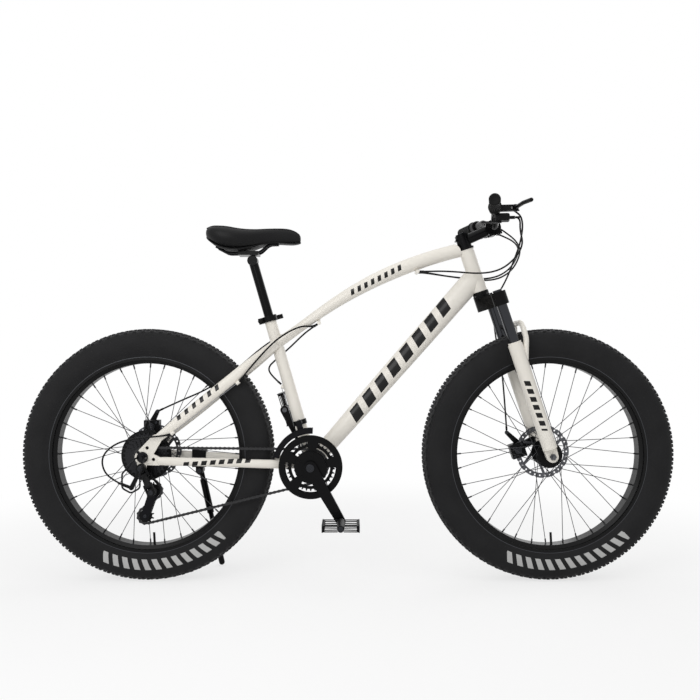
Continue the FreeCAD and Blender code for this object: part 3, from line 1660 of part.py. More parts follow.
# Fork
def build_fork_crown():
    shapes = [rod(steer_at(0, crown_bottom), steer_at(0, fork_height - moving_gap), crown_centre_radius)]
    for side in (-1, 1):
        shapes.append(rod(fork_at(0, crown_bottom, side * leg_side), fork_at(0, crown_top, side * leg_side),
                          crown_leg_radius))
        start = steer_at(0, crown_bottom)
        end = fork_at(0, crown_bottom, side * leg_side)
        shapes.append(tapered_plate(start, end, crown_centre_radius, crown_beam_half,
                                    steer_up * (crown_top - crown_bottom)))
    crown = ring_of(shapes)
    for side in (-1, 1):
        crown = crown.cut(rod(fork_at(0, crown_bottom - overrun, side * leg_side),
                              fork_at(0, crown_top + overrun, side * leg_side),
                              stanchion_radius + seat_gap))
    return crown.fuse(rod(steer_at(0, crown_top), steer_at(0, steerer_top), steerer_radius))


def build_stanchions():
    solids = []
    for side in (-1, 1):
        solids.append(sleeve(fork_at(0, stanchion_bottom, side * leg_side),
                             fork_at(0, crown_top, side * leg_side),
                             stanchion_radius, stanchion_radius - stanchion_wall))
    return solids


def fork_leg(side):
    leg = rod(fork_at(0, leg_bottom, side * leg_side), fork_at(0, leg_top, side * leg_side), leg_radius)
    seal = rod(fork_at(0, leg_top, side * leg_side), fork_at(0, leg_top + seal_height, side * leg_side),
               seal_radius)
    inner = side_axis * (front_inner * side)
    plate = tapered_plate(fork_at(0, 0) + inner, fork_at(0, fork_plate_top) + inner, fork_end_radius,
                          fork_plate_radius, side_axis * (dropout_depth * side))
    return leg.multiFuse([seal, plate])


def build_fork_lowers():
    points = [fork_at(*place) for place in arch_points]
    mirror_points = [fork_at(f, u, -s) for f, u, s in arch_points[:-1]]
    path = points[:-1] + list(reversed(mirror_points))
    arch = bent_rod(path, arch_radius, arch_bend)
    lowers = fork_leg(1).multiFuse([fork_leg(-1), arch])
    for side in (-1, 1):
        lowers = lowers.cut(rod(fork_at(0, leg_bore_bottom, side * leg_side),
                                fork_at(0, leg_top + seal_height + overrun, side * leg_side),
                                stanchion_radius + running_gap))
    hole = cross_rod(front_axle_place, -leg_side * 2, leg_side * 2, axle_radius + seat_gap)
    return lowers.cut(hole)


# Handlebar and controls
bar_place = steer_at(stem_reach, stem_rise)


def build_stem():
    clamp_top_up = stem_low + stem_clamp_height
    clamp = rod(steer_at(0, stem_low), steer_at(0, clamp_top_up), stem_clamp_radius)
    middle = (stem_low + clamp_top_up) / 2
    arm = rod(steer_at(0, middle), bar_place, stem_arm_radius)
    barrel = cross_rod(bar_place, -stem_bar_half, stem_bar_half, stem_bar_radius)
    body = clamp.multiFuse([arm, barrel])
    body = body.cut(rod(steer_at(0, stem_low - overrun), steer_at(0, clamp_top_up + overrun),
                        steerer_radius + seat_gap))
    body = body.cut(cross_rod(bar_place, -stem_bar_half - overrun, stem_bar_half + overrun,
                              bar_sleeve_radius + seat_gap))
    width = stem_bar_radius * 2
    corners = [steer_at(stem_reach + f, stem_rise + u, -width) for f, u in
               ((0, -width), (width, -width), (width, width), (0, width))]
    front = polygon(corners).extrude(side_axis * (width * 2))
    gap_corners = [steer_at(stem_reach + f, stem_rise + u, -width) for f, u in
                   ((0, -width), (stem_split, -width), (stem_split, width), (0, width))]
    gap = polygon(gap_corners).extrude(side_axis * (width * 2))
    face = body.common(front).cut(gap)
    body = body.cut(front)
    solids = [max(body.Solids, key=lambda solid: solid.Volume),
              max(face.Solids, key=lambda solid: solid.Volume)]
    bolts = []
    for side in (-1, 1):
        for level in (-1, 1):
            y = side * stem_bolt_places[0]
            u = stem_rise + level * stem_bolt_places[1]
            head = rod(steer_at(stem_reach + stem_bolt_reach, u, y),
                       steer_at(stem_reach + stem_bolt_reach + stem_bolt_head, u, y), stem_bolt_radius * 2)
            shank = rod(steer_at(stem_reach - stem_bolt_reach, u, y),
                        steer_at(stem_reach + stem_bolt_reach, u, y), stem_bolt_radius)
            bolts.append(head.fuse(shank))
    made = []
    for solid in solids:
        for bolt in bolts:
            solid = solid.cut(bolt)
        made.append(max(solid.Solids, key=lambda piece: piece.Volume))
    cap = rod(steer_at(0, clamp_top_up + seat_gap), steer_at(0, clamp_top_up + stem_cap_height),
              stem_cap_radius)
    pinches = []
    for share in pinch_bolt_shares:
        up = stem_low + share * stem_clamp_height
        pinches.append(rod(steer_at(-pinch_bolt_back, up, -pinch_bolt_half),
                           steer_at(-pinch_bolt_back, up, pinch_bolt_half), pinch_bolt_radius))
    for pinch in pinches:
        made[0] = made[0].cut(pinch)
    return made + bolts + [cap] + pinches


def bar_points(side):
    """Knee and end of the bar on one side."""
    knee = bar_place + vec(-bar_knee_back, side * bar_knee_side, bar_rise)
    end = bar_place + vec(-bar_sweep, side * bar_half, bar_rise)
    return knee, end


def build_handlebar():
    knee, end = bar_points(1)
    flat = bar_place + side_axis * bar_flat_half
    points = [end, knee, flat]
    points += [vec(p.x, -p.y, p.z) for p in reversed(points)]
    outer = bent_rod(points, bar_radius, bar_bend)
    inner = bent_rod(points, bar_bore, bar_bend)
    middle = cross_rod(bar_place, -bar_sleeve_half, bar_sleeve_half, bar_sleeve_radius)
    return outer.fuse(middle).cut(inner)


def bar_frame(side):
    """End of the bar, and its outward, forward and upward directions on one side."""
    knee, end = bar_points(side)
    out = end - knee
    out.normalize()
    ahead = out.cross(vec(0, 0, side))
    ahead.normalize()
    up = ahead.cross(out) * side
    return end, out, ahead, up


def pod_at(side, forward, outboard, up):
    """Place counted from the middle of the control clamp on one side."""
    end, out, ahead, high = bar_frame(side)
    return end - out * pod_inboard + ahead * forward + out * outboard + high * up


def build_grip(side):
    end, out, ahead, up = bar_frame(side)
    start = end - out * grip_length
    body = rod(start, end + out * grip_cap, grip_radius)
    flange = rod(start, start + out * grip_flange_width, grip_flange_radius)
    return body.fuse(flange).cut(rod(start - out * overrun, end, bar_radius + seat_gap))


def build_pod(side):
    end, out, ahead, up = bar_frame(side)
    centre = end - out * pod_inboard
    ring = rod(centre - out * pod_ring_half, centre + out * pod_ring_half, pod_ring_radius)
    low = up * (-perch_half_height)
    pivot = pod_at(side, perch_reach, 0, 0)
    perch = tapered_plate(centre + low, pivot + low, perch_root_radius, perch_end_radius,
                          up * (perch_half_height * 2))
    slot_low = pivot - up * perch_slot_half
    slot = rod(slot_low, pivot + up * perch_slot_half, perch_slot_radius)
    pin = rod(pivot - up * perch_half_height, pivot + up * perch_half_height, perch_pin_radius)
    shifter = Part.makeBox(shifter_half_width * 2, shifter_half_length * 2, shifter_half_height * 2,
                           vec(-shifter_half_width, -shifter_half_length, -shifter_half_height))
    shifter = shifter.makeFillet(shifter_fillet, shifter.Edges)
    sideways = out * side
    shifter.Placement = FreeCAD.Placement(pod_at(side, shifter_forward, -shifter_inboard, -shifter_drop),
                                          FreeCAD.Rotation(ahead, sideways, up, "XYZ"))
    brake_root = pod_at(side, perch_reach / 2, -perch_end_radius, 0)
    shift_root = pod_at(side, shifter_forward + shifter_half_width, -shifter_inboard, -shifter_drop)
    brake_barrel = rod(brake_root, brake_root + (ahead - out) * barrel_length, barrel_radius)
    shift_barrel = rod(shift_root - ahead * overrun, shift_root + ahead * barrel_length, barrel_radius)
    thumb = pod_at(side, thumb_forward, -thumb_inboard, -shifter_drop - shifter_half_height)
    thumb_pin = rod(thumb + up * overrun, thumb - up * (thumb_thickness + moving_gap * 2), thumb_pin_radius)
    pod = ring.multiFuse([perch, shifter, brake_barrel, shift_barrel]).cut(slot)
    pod = pod.multiFuse([pin, thumb_pin])
    reach = out * (pod_ring_half + overrun)
    pod = pod.cut(rod(centre - reach, centre + reach,
                      bar_radius + seat_gap))
    return max(pod.Solids, key=lambda solid: solid.Volume)


def build_brake_lever(side):
    end, out, ahead, up = bar_frame(side)
    pivot = pod_at(side, perch_reach, 0, 0)
    eye = rod(pivot - up * lever_eye_half, pivot + up * lever_eye_half, lever_eye_radius)
    blade = bent_rod([pod_at(side, f, o, 0) for f, o in lever_points], lever_rod_radius, lever_bend)
    ball = Part.makeSphere(lever_rod_radius, pod_at(side, lever_points[-1][0], lever_points[-1][1], 0))
    keep = rod(pivot - up * lever_eye_half, pivot + up * lever_eye_half, perch_slot_radius)
    root_trim = rod(pivot - up * perch_slot_radius, pivot + up * perch_slot_radius,
                    perch_slot_radius).cut(keep)
    bore = rod(pivot - up * perch_slot_radius, pivot + up * perch_slot_radius,
               perch_pin_radius + running_gap)
    return blade.multiFuse([eye, ball]).cut(root_trim).cut(bore)


def build_shift_lever(side):
    end, out, ahead, up = bar_frame(side)
    level = -shifter_drop - shifter_half_height - moving_gap
    start = pod_at(side, thumb_forward, -thumb_inboard, level)
    tip = pod_at(side, thumb_tip[0], thumb_tip[1], level)
    lever = tapered_plate(start, tip, thumb_radii[0], thumb_radii[1], up * (-thumb_thickness))
    return lever.cut(rod(start + up * overrun, start - up * (thumb_thickness + overrun),
                         thumb_pin_radius + running_gap))


# Calipers: body with a slot for the rotor, two pads and an arm on a pin
def slot_disc(centre, rotor_side):
    return cross_rod(centre, rotor_side - caliper_slot_half, rotor_side + caliper_slot_half,
                     caliper_slot_radius)


def caliper_pads(centre, place, forward, upward, rotor_side):
    pads = []
    reach = (rotor_radius - rotor_band / 2) / math.hypot(place[0], place[1])
    place = (place[0] * reach, place[1] * reach)
    for sign in (-1, 1):
        far = caliper_slot_half - pad_gap
        corners = []
        for f, u in ((-1, -1), (1, -1), (1, 1), (-1, 1)):
            corners.append(centre + forward * (place[0] + f * pad_half_length)
                           + upward * (place[1] + u * pad_half_height)
                           + side_axis * (rotor_side + sign * far))
        pads.append(polygon(corners).extrude(side_axis * (-sign * pad_thickness)))
    return pads


def caliper_block(centre, place, half, sides, forward, upward):
    corners = []
    for f, u in ((-1, -1), (1, -1), (1, 1), (-1, 1)):
        corners.append(centre + forward * (place[0] + f * half[0]) + upward * (place[1] + u * half[1])
                       + side_axis * sides[0])
    return polygon(corners).extrude(side_axis * (sides[1] - sides[0]))


def caliper_arm(centre, pivot, end, side, forward, upward):
    start = centre + forward * pivot[0] + upward * pivot[1] + side_axis * (side + moving_gap)
    tip = centre + forward * end[0] + upward * end[1] + side_axis * (side + moving_gap)
    arm = tapered_plate(start, tip, caliper_arm_radii[0], caliper_arm_radii[1],
                        side_axis * caliper_arm_thickness)
    return arm.cut(cross_rod(start, -overrun, caliper_arm_thickness + overrun,
                             caliper_pin_radius + running_gap))


def caliper_pin(centre, pivot, side, forward, upward):
    place = centre + forward * pivot[0] + upward * pivot[1]
    return cross_rod(place, side - overrun, side + caliper_arm_thickness + moving_gap * 2,
                     caliper_pin_radius)


forward_axis = vec(1, 0, 0)
upward_axis = vec(0, 0, 1)


def build_rear_caliper(left_stay):
    centre = rear_axle_place
    body = caliper_block(centre, rear_caliper_place, rear_caliper_half, rear_caliper_sides, forward_axis,
                         upward_axis)
    inner = rear_bracket_sides[0]
    bracket_plate = tapered_plate(centre + vec(rear_caliper_place[0], inner, rear_caliper_place[1]),
                                  centre + vec(rear_bracket_end[0], inner, rear_bracket_end[1]),
                                  rear_bracket_radii[0], rear_bracket_radii[1],
                                  side_axis * (rear_bracket_sides[1] - inner))
    body = body.multiFuse([bracket_plate, caliper_pin(centre, rear_arm_pivot, rear_caliper_sides[1],
                                                      forward_axis, upward_axis)])
    body = body.cut(slot_disc(centre, rear_rotor_side)).cut(left_stay)
    pads = caliper_pads(centre, rear_caliper_place, forward_axis, upward_axis, rear_rotor_side)
    return [max(body.Solids, key=lambda solid: solid.Volume)] + pads


def build_front_caliper(lowers):
    centre = front_axle_place
    body = caliper_block(centre, front_caliper_place, front_caliper_half, front_caliper_sides,
                         steer_front, steer_up)
    inner = side_axis * front_bracket_sides[0]
    ends = [fork_at(*place) + inner for place in front_bracket_ends]
    tab = tapered_plate(ends[0], ends[1], front_bracket_radius, front_bracket_radius,
                        side_axis * (front_bracket_sides[1] - front_bracket_sides[0]))
    body = body.multiFuse([tab, caliper_pin(centre, front_arm_pivot, front_caliper_sides[1], steer_front,
                                            steer_up)])
    body = body.cut(slot_disc(centre, front_rotor_side)).cut(lowers)
    pads = caliper_pads(centre, front_caliper_place, steer_front, steer_up, front_rotor_side)
    return [max(body.Solids, key=lambda solid: solid.Volume)] + pads


# Kickstand
stand_pivot = rear_at(stand_behind, -stand_pivot_drop)


def build_stand_bracket(left_stay):
    low = rear_at(stand_behind - stand_clamp_half, -stand_clamp_low, stand_clamp_sides[0])
    high = rear_at(stand_behind + stand_clamp_half, stand_clamp_high, stand_clamp_sides[1])
    body = box_between(low, high).cut(left_stay)
    body = max(body.Solids, key=lambda solid: solid.Volume)
    boss = cross_rod(stand_pivot, stand_boss_inner, stand_clamp_sides[1], stand_boss_radius)
    web = box_between(vec(stand_pivot.x - stand_boss_radius, stand_boss_inner, stand_pivot.z),
                      vec(stand_pivot.x + stand_boss_radius, stand_clamp_sides[1], low.z + overrun))
    pin = cross_rod(stand_pivot, stand_clamp_sides[1],
                    stand_clamp_sides[1] + stand_eye_width + moving_gap * 2,
                    stand_pin_radius)
    return body.multiFuse([boss, web.cut(left_stay), pin])


def build_stand_leg():
    near = stand_clamp_sides[1] + moving_gap
    far = near + stand_eye_width
    eye = cross_rod(stand_pivot, near, far, stand_boss_radius)
    start = stand_pivot + side_axis * (near + stand_eye_width / 2)
    foot = vec(*stand_foot)
    along = foot - start
    along.normalize()
    leg = rod(start, foot, stand_leg_radius)
    shoe = rod(foot - along * stand_foot_length, foot, stand_foot_radius)
    sleeve_top = start + along * stand_sleeve_start
    collar = rod(sleeve_top, sleeve_top + along * stand_sleeve_length, stand_sleeve_radius)
    leg = leg.multiFuse([eye, shoe, collar, Part.makeSphere(stand_foot_radius, foot)])
    trim = cross_rod(stand_pivot, 0, near, stand_boss_radius * 2)
    return leg.cut(trim).cut(cross_rod(stand_pivot, near - overrun, far + overrun,
                                       stand_pin_radius + running_gap))


# Cables
def barrel_ends(side):
    """First two places of the brake cable and of the shift cable on one side."""
    end, out, ahead, up = bar_frame(side)
    brake_root = pod_at(side, perch_reach / 2, -perch_end_radius, 0)
    shift_root = pod_at(side, shifter_forward + shifter_half_width, -shifter_inboard, -shifter_drop)
    angled = ahead - out
    brake = brake_root + angled * barrel_length
    angled.normalize()
    brake = brake + angled * cable_start_gap
    shift = shift_root + ahead * (barrel_length + cable_start_gap)
    return [brake, brake + angled * cable_lead], [shift, shift + ahead * cable_lead]


def stop_point(side):
    end = vec(front_stop[0] + stop_radius + cable_start_gap, side, front_stop[1])
    return [end + vec(cable_lead, 0, 0), end]


def arm_end(centre, before):
    """Cable end just off the round tip of a caliper arm, on the side it comes from."""
    back = vec(*before) - centre
    back.normalize()
    return centre + back * (caliper_arm_radii[1] + cable_start_gap)


def arm_side(sides):
    return sides[1] + moving_gap + caliper_arm_thickness / 2


def cables(routes):
    """Housings along the routes; the length of each is printed with its volume per section and length."""
    housings = []
    for route in routes:
        length = rounded_wire(route, None).Length
        housing = bent_rod(route, housing_radius)
        section = math.pi * housing_radius ** 2
        print("cable radius", housing_radius, "length", round(length, 1), "volume share",
              round(housing.Volume / (section * length), 3))
        housings.append(housing)
    return housings


def from_head(route):
    """Route points, which are given from the top of the head tube."""
    return [steer_at(0, head_high) + vec(*place) for place in route]


def build_control_cables():
    right_brake, right_shift = barrel_ends(-1)
    left_brake, left_shift = barrel_ends(1)
    front_tip = fork_at(front_arm_end[0], front_arm_end[1], arm_side(front_caliper_sides))
    front_route = from_head(front_brake_route)
    routes = [right_shift + from_head(right_shift_route) + stop_point(stop_cable_sides[0]),
              left_shift + from_head(left_shift_route) + stop_point(stop_cable_sides[1]),
              left_brake + from_head(rear_brake_route) + stop_point(stop_cable_sides[2]),
              right_brake + front_route + [arm_end(front_tip, front_route[-1])]]
    return cables(routes)


def build_frame_cables():
    downhill = turn_vec(top_tube_slope) * -1
    sides = [y / 2 for y in stop_cable_sides]
    back = vec(rear_stop[0], 0, rear_stop[1]) + downhill * (stop_radius + cable_start_gap)
    first = vec(stay_stop_places[0][0], -stay_stop_places[0][2], stay_stop_places[0][1])
    second = vec(stay_stop_places[1][0], -stay_stop_places[1][2], stay_stop_places[1][1])
    along = rear_at(stay_end_ahead, stay_end_above) - seat_at(top_tube_height)
    along.normalize()
    reach = along * (stop_radius + cable_start_gap)
    barrel = vec(*rd_barrel_end)
    barrel_out = barrel - vec(*rd_barrel_root)
    barrel_out.normalize()
    seat_stop = vec(seat_stop_place[0], 0, seat_stop_place[1])
    near_barrel = [barrel + barrel_out * (cable_lead + cable_start_gap),
                   barrel + barrel_out * cable_start_gap]
    rear_tip = rear_at(rear_arm_end[0], rear_arm_end[1], arm_side(rear_caliper_sides))
    starts = [[back + side_axis * side, back + side_axis * side + downhill * cable_lead] for side in sides]
    above = seat_stop + upward_axis * (stop_radius + cable_start_gap)
    routes = [starts[0] + [vec(*p) for p in rear_shift_route] + [first - reach],
              [second + reach] + [vec(*p) for p in rear_shift_loop] + near_barrel,
              starts[2] + [vec(*p) for p in rear_brake_stay_route] + [arm_end(rear_tip,
                                                                              rear_brake_stay_route[-1])],
              starts[1] + [vec(*p) for p in mid_shift_route] + [above]]
    solids = cables(routes)
    solids.append(rod(first + reach, second - reach, wire_radius))
    band_top = seat_at(fd_height + fd_band_width / 2 + cable_start_gap, -seat_tube_radius - overrun)
    below = seat_stop - upward_axis * (stop_radius + wire_radius)
    solids.append(rod(below, band_top, wire_radius))
    return solids


def build_frame():
    head = build_head_tube()
    seat = build_seat_tube()
    seat_solid = rod(bracket, seat_at(seat_tube_length), seat_tube_radius)
    shell_solid = cross_rod(bracket, -shell_half_width, shell_half_width, shell_radius)
    cup_room = rod(steer_at(0, crown_bottom), steer_at(0, head_low), cup_radius + seat_gap)
    cores = Part.makeCompound([seat_solid.fuse(shell_solid), head_tube_cut().fuse(cup_room)])
    down = build_down_tube(cores)
    top = build_top_tube(cores).cut(down)
    top = max(top.Solids, key=lambda solid: solid.Volume)
    stays = build_rear_stays(seat_solid.multiFuse([shell_solid, top, down]))
    save("head_tube", head)
    save("seat_tube", seat)
    save("down_tube", down)
    save("top_tube", top)
    save("rear_stays", *[stay.cut(stay_hollow(side)) for stay, side in zip(stays, (-1, 1))])
    save("bearing_cups", *build_bearing_cups())
    return stays


def build_wheels():
    tire = build_tire(front_axle_place)
    for name, centre, right_side, left_side, rotor, half, driver in (
            ("front", front_axle_place, front_hub_right, front_hub_left, front_rotor_side, front_hub_half,
             0),
            ("rear", rear_axle_place, rear_hub_right, rear_hub_left, rear_rotor_side, rear_hub_half,
             driver_radius)):
        save(name + "_tire", tire.translated(centre - front_axle_place))
        save(name + "_inner_tube", build_inner_tube(centre))
        save(name + "_rim", build_rim(centre))
        save(name + "_spokes", *build_spokes(centre, right_side, left_side))
        save(name + "_hub", build_hub(centre, right_side, left_side, rotor, half, driver))
        save(name + "_rotor", build_rotor(centre, rotor))
    save("front_axle", *build_front_axle())
    save("rear_axle", *build_rear_axle())


def build_drive():
    save("chain", *build_chain())
    save("freewheel", *build_freewheel())
    save("chainrings", *build_chainrings())
    save("crank_arms", crank_arm(-1), crank_arm(1))
    save("crank_spindle", *build_spindle())
    save("right_pedal", build_pedal(-1))
    save("left_pedal", build_pedal(1))
    save("front_derailleur_base", build_fd_base())
    save("front_derailleur_cage", build_fd_cage())
    save("rear_derailleur_base", build_rd_base())
    save("rear_derailleur_link", build_rd_link())
    save("rear_derailleur_knuckle", build_rd_knuckle())
    save("rear_derailleur_cage", build_rd_cage())
    save("tension_pulley", build_pulley(tension_place, gap_phases[2]))
    save("guide_pulley", build_pulley(guide_place, gap_phases[3]))


def build_seat():
    save("seat_clamp", *build_seat_clamp())
    save("seat_clamp_lever", build_clamp_lever())
    rail_solids = rails()
    base = build_saddle_base()
    save("seatpost", *build_seatpost(rail_solids))
    save("saddle_rails", *[rail.cut(base) for rail in rail_solids])
    save("saddle_base", base)
    save("saddle_pad", build_saddle_pad())


def build_front():
    lowers = build_fork_lowers()
    save("fork_crown", build_fork_crown())
    save("fork_stanchions", *build_stanchions())
    save("fork_lowers", lowers)
    save("stem", *build_stem())
    save("handlebar", build_handlebar())
    save("grips", build_grip(-1), build_grip(1))
    save("control_pods", build_pod(-1), build_pod(1))
    for side, name in ((-1, "right"), (1, "left")):
        save(name + "_brake_lever", build_brake_lever(side))
        save(name + "_shift_lever", build_shift_lever(side))
    save("front_caliper", *build_front_caliper(lowers))
    save("front_caliper_arm", caliper_arm(front_axle_place, front_arm_pivot, front_arm_end,
                                          front_caliper_sides[1],
                                          steer_front, steer_up))


stays = build_frame()
build_wheels()
build_drive()
build_seat()
build_front()
save("rear_caliper", *build_rear_caliper(stays[1]))
save("rear_caliper_arm", caliper_arm(rear_axle_place, rear_arm_pivot, rear_arm_end, rear_caliper_sides[1],
                                     forward_axis, upward_axis))
save("kickstand_bracket", build_stand_bracket(stays[1]))
save("kickstand_leg", build_stand_leg())
save("control_cables", *build_control_cables())
save("frame_cables", *build_frame_cables())
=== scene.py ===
import bpy
import bmesh
import math
from mathutils import Matrix, Vector


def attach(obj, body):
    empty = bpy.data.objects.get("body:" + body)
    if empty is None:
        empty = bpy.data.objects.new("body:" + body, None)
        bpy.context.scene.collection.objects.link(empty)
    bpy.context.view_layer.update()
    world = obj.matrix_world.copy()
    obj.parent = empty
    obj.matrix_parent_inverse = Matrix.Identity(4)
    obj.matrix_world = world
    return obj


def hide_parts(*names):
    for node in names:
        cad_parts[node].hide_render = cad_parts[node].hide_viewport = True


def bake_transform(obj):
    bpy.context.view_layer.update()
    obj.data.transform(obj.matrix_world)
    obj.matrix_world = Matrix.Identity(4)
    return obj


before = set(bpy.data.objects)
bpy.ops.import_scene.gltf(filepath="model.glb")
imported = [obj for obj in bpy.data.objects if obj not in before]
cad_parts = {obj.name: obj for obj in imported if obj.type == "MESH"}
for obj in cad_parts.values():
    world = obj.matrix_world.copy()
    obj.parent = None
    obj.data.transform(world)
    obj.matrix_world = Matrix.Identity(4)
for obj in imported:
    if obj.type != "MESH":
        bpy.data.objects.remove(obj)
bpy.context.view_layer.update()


# Studio: an even white room with a plain pale floor and three wide soft lamps, above,
# beside the camera and behind. The camera looks square at the drive side. A lamp has
# its place, its target, its size in metres and its power in watts.
mm = 0.001
room_light = 0.55
floor_half = 9.0
floor_near, floor_far = 1.0, 2.1
floor_white_share = 0.7
white = (1.0, 1.0, 1.0, 1.0)
paper_tone = (0.93, 0.93, 0.93, 1.0)
camera_place = (5.3 * mm, -2600 * mm, 673 * mm)
camera_lens, camera_sensor = 45.3, 36.0
lamps = {
    "soft lamp above": ((0.1, -0.5, 2.7), (0.0, 0.0, 0.6), 2.6, 15.0),
    "soft lamp in front": ((-1.3, -2.7, 1.9), (0.0, 0.0, 0.6), 1.8, 34.0),
    "soft lamp behind": ((1.6, 2.4, 1.6), (0.0, 0.0, 0.6), 1.6, 14.0),
}


def add_node(tree, kind, links=None, **settings):
    """Adds one shader node: settings are its properties, links its sockets' values or their sources."""
    made = tree.nodes.new("ShaderNode" + kind)
    for name, value in settings.items():
        setattr(made, name, value)
    for name, value in (links or {}).items():
        if isinstance(value, bpy.types.NodeSocket):
            tree.links.new(value, made.inputs[name])
        else:
            made.inputs[name].default_value = value
    return made


def seen_rays(tree):
    """1 on rays from the camera, mirrors and glass, 0 on the rays that light the object."""
    path = add_node(tree, "LightPath").outputs
    seen = add_node(tree, "Math", {0: path["Is Camera Ray"], 1: path["Is Glossy Ray"]},
                    operation="MAXIMUM").outputs[0]
    return add_node(tree, "Math", {0: seen, 1: path["Is Transmission Ray"]}, operation="MAXIMUM").outputs[0]


scene = bpy.context.scene
scene.view_settings.view_transform = "Standard"
room = bpy.data.worlds.new("white room")
scene.world = room
room.use_nodes = True
room.node_tree.nodes.clear()
strength = add_node(room.node_tree, "Mix", {0: seen_rays(room.node_tree), 2: room_light, 3: 1.0})
backdrop = add_node(room.node_tree, "Background", {"Color": white, "Strength": strength.outputs[0]})
add_node(room.node_tree, "OutputWorld", {"Surface": backdrop.outputs[0]})

paper = bpy.data.materials.new("white studio paper")
paper.use_nodes = True
tree = paper.node_tree
tree.nodes.clear()
place = add_node(tree, "TexCoord").outputs["Object"]
reach = add_node(tree, "VectorMath", {0: place}, operation="LENGTH").outputs["Value"]
away = add_node(tree, "MapRange", {"Value": reach, "From Min": floor_near, "From Max": floor_far,
                                   "To Min": floor_white_share},
                interpolation_type="SMOOTHSTEP").outputs[0]
bare = add_node(tree, "Math", {0: away, 1: seen_rays(tree)}, operation="MULTIPLY").outputs[0]
sheet = add_node(tree, "BsdfDiffuse", {"Color": paper_tone})
glow = add_node(tree, "Emission", {"Color": white, "Strength": 1.0})
mixed = add_node(tree, "MixShader", {0: bare, 1: sheet.outputs[0], 2: glow.outputs[0]})
add_node(tree, "OutputMaterial", {"Surface": mixed.outputs[0]})
floor_mesh = bpy.data.meshes.new("studio_floor")
bm = bmesh.new()
bmesh.ops.create_grid(bm, x_segments=1, y_segments=1, size=floor_half)
bm.to_mesh(floor_mesh)
bm.free()
floor = bpy.data.objects.new("studio_floor", floor_mesh)
floor.data.materials.append(paper)
scene.collection.objects.link(floor)

for name, (spot, target, size, power) in lamps.items():
    light = bpy.data.lights.new(name, "AREA")
    light.shape = "SQUARE"
    light.size = size
    light.energy = power
    lamp = bpy.data.objects.new(name, light)
    lamp.location = spot
    lamp.rotation_euler = (Vector(target) - Vector(spot)).to_track_quat("-Z", "Y").to_euler()
    scene.collection.objects.link(lamp)

lens = bpy.data.cameras.new("camera")
lens.lens = camera_lens
lens.sensor_width = camera_sensor
lens.sensor_fit = "HORIZONTAL"
camera = bpy.data.objects.new("camera", lens)
camera.location = camera_place
camera.rotation_euler = (math.radians(90), 0, 0)
scene.collection.objects.link(camera)
scene.camera = camera


# Main frame: welded steel tubes under a glossy off-white enamel, with black film bars
# along the down tube, top tube, seat stays and chainstays. A row of bars has its
# start, turn in degrees, length, half height, pitch and share of film.
enamel_colour, enamel_shade, film_colour = "EBE7DF", "E4DFD5", "060606"
enamel_rough, enamel_gloss, coat_weight, coat_rough = 0.34, 0.2, 0.15, 0.05
cloud_size = 180 * mm
peel_size, peel_depth, peel_strength = 3.0 * mm, 0.1 * mm, 0.08
film_lean = 0.36
down_tube_film = (14 * mm, 0, 476 * mm), 50.5, 455 * mm, 19 * mm, 57 * mm, 0.62
top_tube_film = (8 * mm, 0, 841 * mm), 27.0, 165 * mm, 8 * mm, 22 * mm, 0.5
chainstay_film = (-470 * mm, 0, 346.5 * mm), 3.0, 196 * mm, 6.5 * mm, 25 * mm, 0.62
seat_stay_film = (-488 * mm, 0, 478 * mm), 38.0, 160 * mm, 7.5 * mm, 27 * mm, 0.45


def linear(colour):
    """An sRGB hex value as the linear colour that shaders take."""
    parts = [int(colour[i:i + 2], 16) / 255 for i in (0, 2, 4)]
    return tuple(c / 12.92 if c <= 0.04045 else ((c + 0.055) / 1.055) ** 2.4 for c in parts) + (1.0,)


def new_finish(name, colour, **sockets):
    """A material with its shader and the piece's own coordinates."""
    material = bpy.data.materials.new(name)
    material.use_nodes = True
    tree = material.node_tree
    tree.nodes.clear()
    shader = add_node(tree, "BsdfPrincipled", {"Base Color": linear(colour)})
    for socket, value in sockets.items():
        shader.inputs[socket.replace("_", " ")].default_value = value
    add_node(tree, "OutputMaterial", {"Surface": shader.outputs[0]})
    return material, tree, shader, add_node(tree, "TexCoord").outputs["Object"]


def dress(material, *names):
    """Gives CAD nodes their finish."""
    for name in names:
        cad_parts[name].material_slots[0].material = material


def slanted_bars(tree, place, start, turn, length, half, pitch, share):
    """1 inside a row of slanted bars that runs from start, turned in the wheel plane."""
    local = add_node(tree, "Mapping", {"Vector": place, "Location": start,
                                       "Rotation": (0, -math.radians(turn), 0)},
                     vector_type="TEXTURE")
    axes = add_node(tree, "SeparateXYZ", {0: local.outputs[0]}).outputs
    run = add_node(tree, "Math", {0: axes["Z"], 1: -film_lean, 2: axes["X"]}, operation="MULTIPLY_ADD")
    step = add_node(tree, "Math", {0: run.outputs[0], 1: pitch}, operation="DIVIDE")
    step = add_node(tree, "Math", {0: step.outputs[0]}, operation="FRACT")
    bar = add_node(tree, "Math", {0: step.outputs[0], 1: share}, operation="LESS_THAN")
    along = add_node(tree, "Math", {0: run.outputs[0], 1: length / 2, 2: length / 2}, operation="COMPARE")
    across = add_node(tree, "Math", {0: axes["Z"], 1: 0.0, 2: half}, operation="COMPARE")
    both = add_node(tree, "Math", {0: along.outputs[0], 1: across.outputs[0]}, operation="MULTIPLY")
    return add_node(tree, "Math", {0: bar.outputs[0], 1: both.outputs[0]}, operation="MULTIPLY").outputs[0]


